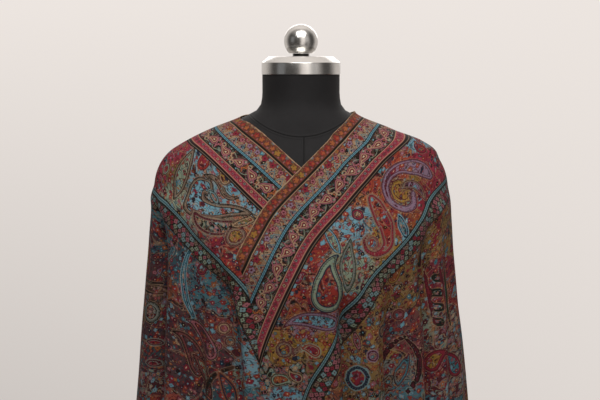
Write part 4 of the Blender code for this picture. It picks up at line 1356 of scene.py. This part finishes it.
stripes = {
    # mm from the long edge: the middle and half width of each stripe, and the step of its figures along it
    "rosettes": {"middle": 6.9, "reach": 13.4, "step": 10.4},
    "pale": {"middle": 27.2, "half": 10.0, "step": 15.0, "roses": 24.6, "buds": 20.6, "line": 37.4},
    "dark": {"middle": 53.2, "half": 11.0, "step": 26.0},
    "crimson": {"middle": 69.7, "half": 4.2, "step": 7.4},
    "figures": {"middle": 119.0, "half": 38.6},
    "net": {"middle": 173.2, "half": 9.3, "step": 8.6, "rows": ((0.0, 168.0), (4.3, 173.4), (0.0, 178.8))},
    "field": 183.6,  # where the field begins
    "grounds": (
        (13.6, "russet"), (16.6, "black"), (24.0, "roseBrown"), (37.8, "beige"), (41.4, "lightBlue"), (64.6, "black"),
        (75.2, "carmine"), (76.4, "beige"), (80.6, "black"), (158.2, "black"), (162.6, "lightBlue"),
    ),
    # lines between the stripes: middle, half width, paint
    "lines": (
        (15.1, 1.5, "black"), (17.2, 0.5, "beige"), (39.6, 1.8, "lightBlue"), (39.6, 0.5, "deepTeal"),
        (37.6, 0.5, "black"), (41.8, 0.7, "black"), (64.4, 0.6, "black"), (65.4, 0.5, "beige"), (74.4, 0.5, "beige"),
        (77.2, 1.9, "black"), (78.6, 0.35, "taupe"), (80.4, 0.5, "black"), (160.4, 2.2, "greyBlue"),
        (160.4, 0.6, "deepTeal"), (157.9, 0.7, "black"), (163.0, 0.9, "black"), (183.2, 0.4, "black"),
    ),
    "dashed": (38.4, 40.8, 159.0, 161.8),
    "dashStep": 4.4,
}


def edgeFigures(colour, straightRun, straightAway, place):
    # The stripes along the long edges, from the edge inwards. Their figures are a little uneven, as woven ones are.
    straightRun, straightAway = after(colour, straightRun), after(colour, straightAway)
    sideways, inwards, _ = parts(noise(place, 120.0, 1.0, out=1))
    run, away = straightRun + sideways * 3.0, straightAway + (inwards - 0.5) * 2.2

    def lay(mask, names, share=1.0):
        # One paint, or one of several by lot, within the stripe that is being drawn.
        nonlocal colour
        mask = mask * row if share == 1.0 else mask * row * share
        colour = paintOver(colour, mask, dye(names) if isinstance(names, str) else byLot(chance, names))

    # first the rosettes
    middle, step = stripes["rosettes"]["middle"], stripes["rosettes"]["step"]
    row = below(away, stripes["rosettes"]["reach"], 0.6)
    x, y = repeat(run, step), away - middle
    chance = numberAt(run / step, 1.0)
    rim = (3.6 + 1.3 * chance) * petals(x, y, 5.0, 0.42, chance * 6.0) - length(x, y)
    lay(above(rim, -0.9, 1.0), "maroon", 0.6)
    lay(above(rim, 0.3, 1.2), ("orange", "scarlet", "orange", "red", "mustard"), 0.9)
    lay(below(length(x + 1.0, y - 0.8), 1.5, 1.0), "orange", 0.6)
    lay(below(length(x - 1.5, y + 1.3), 0.9, 0.6), "maroon", 0.8)
    x = repeat(run, step, 0.5 * step)
    for across, size, name in ((11.0, 1.3, "rose"), (7.6, 1.0, "darkGreen"), (3.0, 1.2, "olive")):
        lay(below(length(x + 0.4 * chance, away - across), size, 0.6), name, 0.75)
    colour = paintOver(colour, below(away, 1.0, 0.4), dye("beige"))
    # the pale band: a rose garland, then open triangles that stand on its line
    pale, step = stripes["pale"], stripes["pale"]["step"]
    row = within(away, pale["middle"], pale["half"])
    x, y = repeat(run, step, 0.5 * step), away - pale["roses"]
    far = length(x, y)
    chance = numberAt((run + 0.5 * step) / step, 4.0)
    rim = (3.6 + chance) * petals(x, y, 5.0, 0.4, chance * 6.0) - far
    lay(above(rim, -0.8), "maroon", 0.8)
    lay(above(rim, 0.2), ("rose", "orange", "rose", "lilac", "crimson"))
    lay(below(far, 1.4), "maroon")
    x, y = repeat(run, step), away - pale["buds"]
    lay(below(length(x * 0.7, y), 1.7, 0.6), ("orange", "rose", "lightBlue"), 0.9)
    x = abs(repeat(run, step))
    slope = (pale["line"] - away) * 0.62 + x
    lay(within(slope, 5.6, 0.7, 0.6), "navy", 0.8)
    lay(within(slope, 5.9, 0.5, 0.6), "greyBlue", 0.8)
    lay(below(slope, 4.2, 0.8), ("cream", "rose", "lightBlue", "beige"), 0.5)
    lay(within(slope, 2.6, 0.5, 0.6), "crimson", 0.8)
    lay(below(length(x, away - 33.6), 1.3, 0.6), "navy")
    lay(below(length(repeat(run, 0.5 * step), away - 20.0), 1.3, 0.6), "olive", 0.8)
    # the dark band: a running stem, paisleys that point both ways by turns, and roses between them
    middle, step = stripes["dark"]["middle"], stripes["dark"]["step"]
    row = within(away, middle, stripes["dark"]["half"])
    swing = (run * (math.pi / step)).then("SINE")
    lay(within(away - middle - 6.8 * swing, 0.0, 0.6), "rose")
    lay(within(away - 54.6 + 7.6 * swing, 0.0, 0.5), "sage", 0.9)
    x = repeat(run, step)
    way = repeat(run, 2.0 * step, 0.5 * step).then("SIGN")
    y = (away - middle) * way + 1.2 - 0.040 * (x + 3.0) * (x + 3.0)
    tail = greater(x + 3.0, 0.0)
    drop = length(lesser(x + 3.0, 0.0), y) - 5.4 + 0.46 * tail
    for reach, name in (
        (2.5, "black"), (1.6, "rose"), (0.1, "maroon"), (-0.7, "beige"), (-2.1, "crimson"), (-3.2, "black"),
        (-4.0, "cream"),
    ):
        lay(below(drop, reach), name)
    x, y = repeat(run, step, 13.6), away - middle - 3.0 * way
    far = length(x, y)
    chance = numberAt((run + 13.6) / step, 9.0)
    rim = 4.6 * petals(x, y, 5.0, 0.4) - far
    lay(above(rim, -0.9), "black")
    lay(above(rim, -0.1), ("rose", "beige", "rose", "orange"))
    lay(below(far, 2.0), "maroon")
    lay(below(far, 1.1), "orange")
    for along, across, size, name in ((7.6, -6.4, 2.7, "rose"), (19.0, 5.8, 2.6, "beige")):
        x, y = repeat(run, step, along), (away - middle) * way - across
        lay(within(length(x, y), size, 0.65), name)
    for along, across, size, name in (
        (9.0, -7.4, 1.6, "sage"), (17.6, 7.6, 1.5, "sage"), (13.0, 8.8, 1.2, "red"), (4.5, 8.4, 1.3, "lightBlue"),
    ):
        x, y = repeat(run, step, along), (away - middle) * way - across
        lay(below(length(x, y * 1.5), size), name)
    # the dark stripe inside the second line: a net of small flowers
    step = stripes["net"]["step"]
    row = within(away, stripes["net"]["middle"], stripes["net"]["half"])
    for shift, middle in stripes["net"]["rows"]:
        x, y = repeat(run, step, shift), away - middle
        far = length(x, y)
        chance = numberAt((run + shift) / step, middle)
        rim = (2.8 + 1.1 * chance) * petals(x, y, 4.0, 0.36, chance * 9.0) - far
        lay(above(rim, -0.7), "black", 0.9)
        lay(above(rim, 0.1), ("rose", "sage", "crimson", "taupe", "rose", "greyBlue"), 0.9)
        lay(below(far, 0.9), "maroon")
    # the crimson stripe: small flowers by turns with leaves and dots
    middle, step = stripes["crimson"]["middle"], stripes["crimson"]["step"]
    row = within(away, middle, stripes["crimson"]["half"])
    chance = numberAt(run / step, 7.0)
    x, y = repeat(run, step), away - middle + (chance - 0.5) * 1.6
    far = length(x, y)
    rim = 2.3 * petals(x, y, 4.0, 0.4, chance * 9.0) - far
    lay(above(rim, -0.7, 0.6), "maroon", 0.7)
    lay(above(rim, 0.1, 0.6), ("rose", "beige", "roseBrown", "rose", "grey"), 0.9)
    lay(below(far, 0.8), "navy")
    x = repeat(run, step, 0.5 * step)
    lay(below(length(x, abs(away - middle) - 2.6), 0.9, 0.6), "rose", 0.8)
    lay(below(length(x - 0.4, away - 69.3), 0.9, 0.6), "maroon", 0.7)
    # and the straight lines between them
    run, away = straightRun, straightAway
    for middle, half, name in stripes["lines"]:
        colour = paintOver(colour, within(away, middle, half), dye(name))
    dashes = below(abs(repeat(run, stripes["dashStep"])), 1.2)
    for middle in stripes["dashed"]:
        colour = paintOver(colour, within(away, middle, 0.5) * dashes * 0.5, dye("navy"))
    return colour


def printedWool():
    material, shader, place = newMaterial("printedWool", **{"Roughness": 0.86, "Specular IOR Level": 0.2})

    def layer(name):
        return inMillimetres(place.make("ShaderNodeUVMap", {"uv_map": name}))

    outerRun, away, _ = layer("border")
    innerRun, _, _ = layer("inner")
    across, down, _ = layer("weave")
    middle, half = stripes["figures"]["middle"], stripes["figures"]["half"]
    run = outerRun + (innerRun - outerRun) * away.then("GREATER_THAN", middle)

    def read(name, out="Color"):
        return place.make("ShaderNodeAttribute", {"attribute_name": name}, None, out)

    inPatch = greater(within(away, middle, half), above(away, stripes["field"]))
    inPatches = inPatch.then("GREATER_THAN", 0.5)

    def strewn(cell, swirl=0.5):
        # The net of cells that one kind of small figure lies on: along the stripes, or along the cloth in the patches.
        small = cell * wool["stripeShare"]
        patchPlace, stripePlace = joined(across / cell, down / cell), joined(run / small, away / small)
        inputs = {0: inPatches, 4: stripePlace, 5: patchPlace}
        return swirled(place.make("ShaderNodeMix", {"data_type": "VECTOR"}, inputs, out=1), 0.9, swirl)

    colour = paintOver(stripeRamp(away, stripes["grounds"], "black"), inPatch, read("ground"))
    mottle = noise(place, 60.0, 3.0)
    colour = paintOver(colour, above(mottle, 0.56, 0.3) * 0.3, dye("brown"))
    distance = read("figure", "Fac")
    inFigure = below(distance, -4.4, 0.4) * inPatch
    colour = paintOver(colour, inFigure, read("figureFill"))
    brightness = colour.make("ShaderNodeRGBToBW", None, {0: colour})
    dark = below(brightness, 0.028, 0.01)
    patchEdge = read("patchEdge", "Fac")
    # the smallest things stay out of the stripes' own figures, or are faint there
    clear = greater(inPatch, greater(within(away, 27.2, 10.2), within(away, 173.4, 9.8) * 0.4))
    clear = clear + within(away, 53.2, 11.4) * 0.45 + below(away, 13.0, 0.6) * 0.4
    flowerPlace = strewn(wool["flowerCell"])
    colour = smallPaisleys(colour, dark, strewn(wool["paisleyCell"], 0.2), inPatch * above(distance, 3.0))
    colour = vines(colour, dark, flowerPlace, clear)
    colour = daisies(colour, dark, strewn(wool["daisyCell"], 0.15), inPatch * above(abs(distance), 5.0) * 0.9)
    colour = specks(colour, dark, strewn(wool["speckCell"]), clear)
    colour = leaves(colour, dark, strewn(wool["leafCell"]), clear)
    colour = flowers(colour, dark, strewn(wool["blossomCell"], 0.3), inPatch * 0.9)
    colour = flowers(colour, dark, flowerPlace, clear)
    # curved lines between the patches
    distance, patchEdge = after(colour, distance), after(colour, patchEdge)
    colour = paintOver(colour, within(patchEdge, 1.5, 0.35, 0.6) * inPatch * 0.4, dye("beige"))
    colour = paintOver(colour, below(patchEdge, 0.7) * inPatch * 0.75, dye("black"))
    # the figures' outlines and rims
    line = read("figureLine")
    colour = paintOver(colour, within(distance, 1.3, 0.35) * inPatch * 0.5, dye("beige"))
    rim = within(distance, -2.2, 2.0) * inPatch
    colour = paintOver(colour, rim, read("figureRim"))
    colour = specks(colour, dark, strewn(wool["speckCell"]), rim * 0.8)
    veins = below(abs(repeat(read("figureRun", "Fac"), 3.4) + 0.8 * distance), 0.6, 0.6) * rim
    colour = paintOver(colour, veins * 0.5, line)
    colour = paintOver(colour, within(distance, -1.4, 0.3, 0.4) * inPatch * 0.8, dye("black"))
    colour = paintOver(colour, within(distance, 0.0, 0.6) * inPatch, line)
    colour = paintOver(colour, within(distance, -4.3, 0.5) * inPatch, line)
    colour = edgeFigures(colour, run, away, place)
    plug(colour, shader, "Base Color")
    twill = ((across + down) * (2.0 * math.pi / wool["twill"])).then("SINE")
    bumpFrom(twill * 0.5 + noise(place, 900.0, 2.0), shader, 0.00022, 0.5)
    return material


print("shawl")

sheets = {
    "shawlFrontOver": {"node": "shawl_front_over", "side": "right", "flat": (0.50, 1.02)},
    "shawlFrontUnder": {"node": "shawl_front_under", "side": "left", "flat": (0.33, 1.02)},
    "shawlBack": {"node": "shawl_back", "side": "back", "flat": (0.64, 1.02)},
}
grids = {"shawlFrontOver": overGrid, "shawlFrontUnder": underGrid, "shawlBack": backGrid}
printed = printedWool()
for name, facts in sheets.items():
    grid = grids[name]()
    piece = makeSheet(name, grid)
    layPrint(piece, grid, facts["side"])
    thicken(piece)
    piece.data.materials.append(printed)
    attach(piece, "root")
    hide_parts(facts["node"])
    print(name, len(piece.data.polygons))

print("dress form")

form = {
    "levels": 72,
    "segments": 112,
    "bottom": 700.0,
    "neckSeam": 1331.0,  # its height
    # drop, half width, front, back, squareness
    "rings": (
        (-55.5, 55.0, 55.0, 55.0, 2.0), (-30.0, 55.0, 55.5, 55.5, 2.0), (-14.0, 57.0, 57.0, 57.5, 2.0),
        (-6.0, 62.0, 60.0, 61.0, 2.0), (0.0, 71.5, 63.0, 65.0, 2.0), (5.0, 82.5, 65.0, 67.5, 2.0),
        (21.0, 122.0, 70.0, 75.0, 2.0), (39.0, 159.0, 78.3, 85.0, 2.0), (56.0, 185.0, 88.0, 92.0, 2.05),
        (73.0, 197.0, 96.5, 98.5, 2.1), (90.0, 201.0, 102.5, 103.0, 2.1), (112.0, 200.0, 110.0, 107.0, 2.15),
        (135.0, 190.0, 118.0, 110.0, 2.2), (165.0, 170.0, 127.5, 111.0, 2.2), (195.0, 158.0, 134.0, 109.0, 2.2),
        (235.0, 152.0, 131.5, 105.0, 2.2), (285.0, 143.0, 116.0, 98.0, 2.2), (340.0, 128.0, 100.0, 88.0, 2.2),
        (400.0, 118.0, 92.0, 82.0, 2.2), (460.0, 126.0, 96.0, 90.0, 2.2), (530.0, 148.0, 103.0, 104.0, 2.2),
        (600.0, 164.0, 107.0, 112.0, 2.25), (650.0, 168.0, 107.0, 112.0, 2.3), (700.0, 166.0, 104.0, 108.0, 2.3),
    ),
}

# Turned pieces: node, slot, outline as (radius, height) from the underside up.
turned = {
    "neckCap": ("form_neck_cap", "polished_steel", (
        (55.2, 1415.8), (56.0, 1416.6), (56.0, 1431.6), (55.6, 1432.6), (46.4, 1440.3), (45.2, 1440.8), (20.0, 1440.8),
    )),
    "knobCollar": ("form_knob_collar", "dark_steel", (
        (12.0, 1441.1), (12.0, 1442.2), (10.9, 1443.1), (12.0, 1444.0), (12.0, 1445.1),
    )),
    "standFlange": ("stand_flange", "polished_steel", (
        (17.6, 623.4), (18.5, 624.0), (19.5, 640.4), (36.0, 643.6), (38.0, 644.9), (38.0, 648.8), (37.3, 649.4),
    )),
    "standPole": ("stand_pole", "polished_steel", ((12.0, 46.6), (12.5, 47.1), (12.5, 622.6), (12.0, 623.1))),
    "standHub": ("stand_hub", "polished_steel", (
        (29.6, 12.3), (30.0, 12.8), (30.0, 19.6), (29.2, 20.6), (21.0, 41.4), (19.8, 43.0), (18.5, 45.7), (18.0, 46.3),
    )),
    "standBase": ("stand_base", "polished_steel", (
        (184.4, 0.0), (185.0, 0.7), (185.0, 7.6), (184.4, 8.8), (182.0, 11.2), (180.4, 12.0), (90.0, 12.0),
    )),
}
ball = {"radius": 24.1, "flat": 17.0, "bottom": 1445.4, "rings": 34}


def turn(name, outline, segments):
    # Raises a disc ring by ring along the outline.
    clearSelection()
    radius, height = outline[0]
    bpy.ops.mesh.primitive_circle_add(
        vertices=segments, radius=radius * 0.001, fill_type="NGON", location=(0.0, 0.0, height * 0.001),
    )
    piece = bpy.context.object
    piece.name = name
    bpy.ops.object.transform_apply(location=True, rotation=True, scale=True)
    bpy.ops.object.mode_set(mode="EDIT")
    bpy.ops.mesh.select_all(action="SELECT")
    for nextRadius, nextHeight in outline[1:]:
        bpy.ops.mesh.extrude_region_move(TRANSFORM_OT_translate={"value": (0.0, 0.0, (nextHeight - height) * 0.001)})
        share = nextRadius / radius
        bpy.ops.transform.resize(value=(share, share, 1.0), center_override=(0.0, 0.0, nextHeight * 0.001))
        radius, height = nextRadius, nextHeight
    bpy.ops.mesh.select_all(action="SELECT")
    bpy.ops.mesh.normals_make_consistent(inside=False)
    bpy.ops.object.mode_set(mode="OBJECT")
    bpy.ops.object.shade_smooth_by_angle(angle=math.radians(28.0))
    return piece


def ballOutline():
    lowest = math.pi - math.asin(ball["flat"] / ball["radius"])
    centre = ball["bottom"] - ball["radius"] * math.cos(lowest)
    angles = np.linspace(lowest, 0.03, ball["rings"])
    return [(ball["radius"] * math.sin(a), centre + ball["radius"] * math.cos(a)) for a in angles]


def makeBody():
    # A disc is raised level by level, and each level then takes the figure's own outline.
    levels, bottom = form["levels"], form["bottom"]
    piece = turn("jerseyBody", [(1000.0, 1000.0 * k) for k in range(levels + 1)], form["segments"])
    top = form["rings"][0][0]
    drops = bottom + (top - bottom) * np.linspace(0.0, 1.0, levels + 1) ** 0.8
    mesh = piece.data
    points = np.empty(len(mesh.vertices) * 3)
    mesh.vertices.foreach_get("co", points)
    points = points.reshape(-1, 3)
    azimuth, drop = np.arctan2(points[:, 0], -points[:, 1]), drops[np.rint(points[:, 2]).astype(int)]
    placed = around(ringRadius(azimuth, drop, ringCurves(form["rings"])), azimuth, drop)
    mesh.vertices.foreach_set("co", (placed * 0.001).ravel())
    mesh.update()
    bpy.ops.object.shade_smooth_by_angle(angle=math.radians(40.0))
    return piece


def blackJersey():
    material, shader, place = newMaterial("blackJersey", **{
        "Roughness": 0.75, "Specular IOR Level": 0.22, "Sheen Weight": 0.03, "Sheen Roughness": 0.4,
    })
    x, y, z = inMillimetres(place)
    seamHeight = form["neckSeam"]
    neckSeam = abs(z - seamHeight - 0.0054 * x * x)
    centreSeam = greater(abs(x - 4.0 + 0.006 * (seamHeight - z)), (z - seamHeight) * 10.0)
    seam = lesser(neckSeam, greater(centreSeam, (y + 10.0) * 5.0))
    mottle = noise(place, 38.0, 4.0, roughness=0.6)
    colour = paintOver((0.0085, 0.0080, 0.0086, 1.0), mottle * 0.9, (0.0185, 0.0172, 0.0182, 1.0))
    colour = paintOver(colour, below(seam, 0.7, 0.6) * 0.75, (0.004, 0.004, 0.004, 1.0))
    plug(colour, shader, "Base Color")
    knit = (x * 7.0).then("SINE") * (z * 9.0).then("SINE")
    ridge = below(abs(seam - 1.8), 1.1, 1.4) - below(seam, 0.6, 0.8) * 1.6
    bumpFrom(knit * 0.12 + mottle * 0.35 + ridge, shader, 0.0006, 0.6)
    return material


def steel(name, colour, roughness, brushed):
    material, shader, place = newMaterial(name, **{"Metallic": 1.0})
    x, y, z = inMillimetres(place)
    grain = noise(joined(x * 0.02, y * 0.02, z * 4.0), 1.0, 3.0)
    smudge = noise(place, 45.0, 3.0)
    plug(paintOver((*colour, 1.0), smudge * 0.5, (*[0.72 * c for c in colour], 1.0)), shader, "Base Color")
    plug(smudge * 0.16 + grain * brushed + roughness, shader, "Roughness")
    bumpFrom(grain, shader, 0.00003, 0.25)
    return material


def blackBoard():
    material, shader, place = newMaterial("blackBoard", **{"Roughness": 0.6})
    grain = noise(place, 260.0, 4.0)
    plug(paintOver((0.018, 0.017, 0.016, 1.0), grain, (0.045, 0.043, 0.041, 1.0)), shader, "Base Color")
    bumpFrom(grain, shader, 0.0002, 0.5)
    return material


finishes = {
    "polished_steel": steel("polishedSteel", (0.66, 0.645, 0.62), 0.10, 0.10),
    "dark_steel": steel("darkSteel", (0.10, 0.095, 0.09), 0.25, 0.10),
}
for name, (node, slotName, outline) in turned.items():
    piece = turn(name, outline, 96)
    piece.data.materials.append(finishes[slotName])
    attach(piece, "root")
    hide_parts(node)
knob = turn("neckKnob", ballOutline(), 72)
knob.data.materials.append(finishes["polished_steel"])
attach(knob, "root")
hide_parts("form_knob")
body = makeBody()
body.data.materials.append(blackJersey())
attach(body, "root")
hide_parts("form_torso")
board = bpy.data.objects["form_plate"]
boardFinish = blackBoard()
for place in board.material_slots:
    place.material = boardFinish

print("room")


def makeRoom():
    clearSelection()
    bpy.ops.mesh.primitive_circle_add(
        vertices=96, radius=room["floorReach"], fill_type="NGON", location=(0.0, 0.0, -0.001),
    )
    floor = bpy.context.object
    floor.name = "paleFloor"
    bpy.ops.object.transform_apply(location=True, rotation=True, scale=True)
    material, _, _ = newMaterial("paleFloor", **{"Base Color": (*room["floor"], 1.0), "Roughness": 0.8})
    floor.data.materials.append(material)
    world = bpy.context.scene.world or bpy.data.worlds.new("room")
    bpy.context.scene.world = world
    world.use_nodes = True
    tree = world.node_tree
    background = next(node for node in tree.nodes if node.type == "BACKGROUND")
    background.inputs["Color"].default_value = (*room["wall"], 1.0)
    rays = tree.nodes.new("ShaderNodeLightPath").outputs
    x, y, z = parts(Wire(tree.nodes.new("ShaderNodeTexCoord").outputs["Generated"]))
    turn = x.then("ARCTAN2", y * -1.0)
    bright, start = room["wallMirrored"]
    mirrored = above(abs(turn), start) * bright + room["roomMirrored"]
    for bright, middle, half in room["lampsMirrored"]:
        mirrored = mirrored + within(turn, middle, half, 0.25) * bright
    bright, start = room["ceilingMirrored"]
    mirrored = mirrored + above(z, start, 0.4) * bright
    seen = Wire(rays["Is Camera Ray"])
    glossy = Wire(rays["Is Glossy Ray"])
    # The wall seen by the camera gets painted shade: darker downwards, and more so on the left.
    lower = z.then("MULTIPLY_ADD", -1.0 / 0.3, 0.13, clamp=True)
    leftward = x.then("MULTIPLY_ADD", -2.2, 0.5, clamp=True)
    everywhere, onLeft = room["wallPaintedShade"]
    strength = seen * (room["wallSeen"] - lower * (leftward * onLeft + everywhere)) + glossy * mirrored
    plug(strength + (1.0 - seen - glossy) * room["wallLight"], background, "Strength")


makeRoom()
bpy.context.scene.view_settings.view_transform = "Standard"
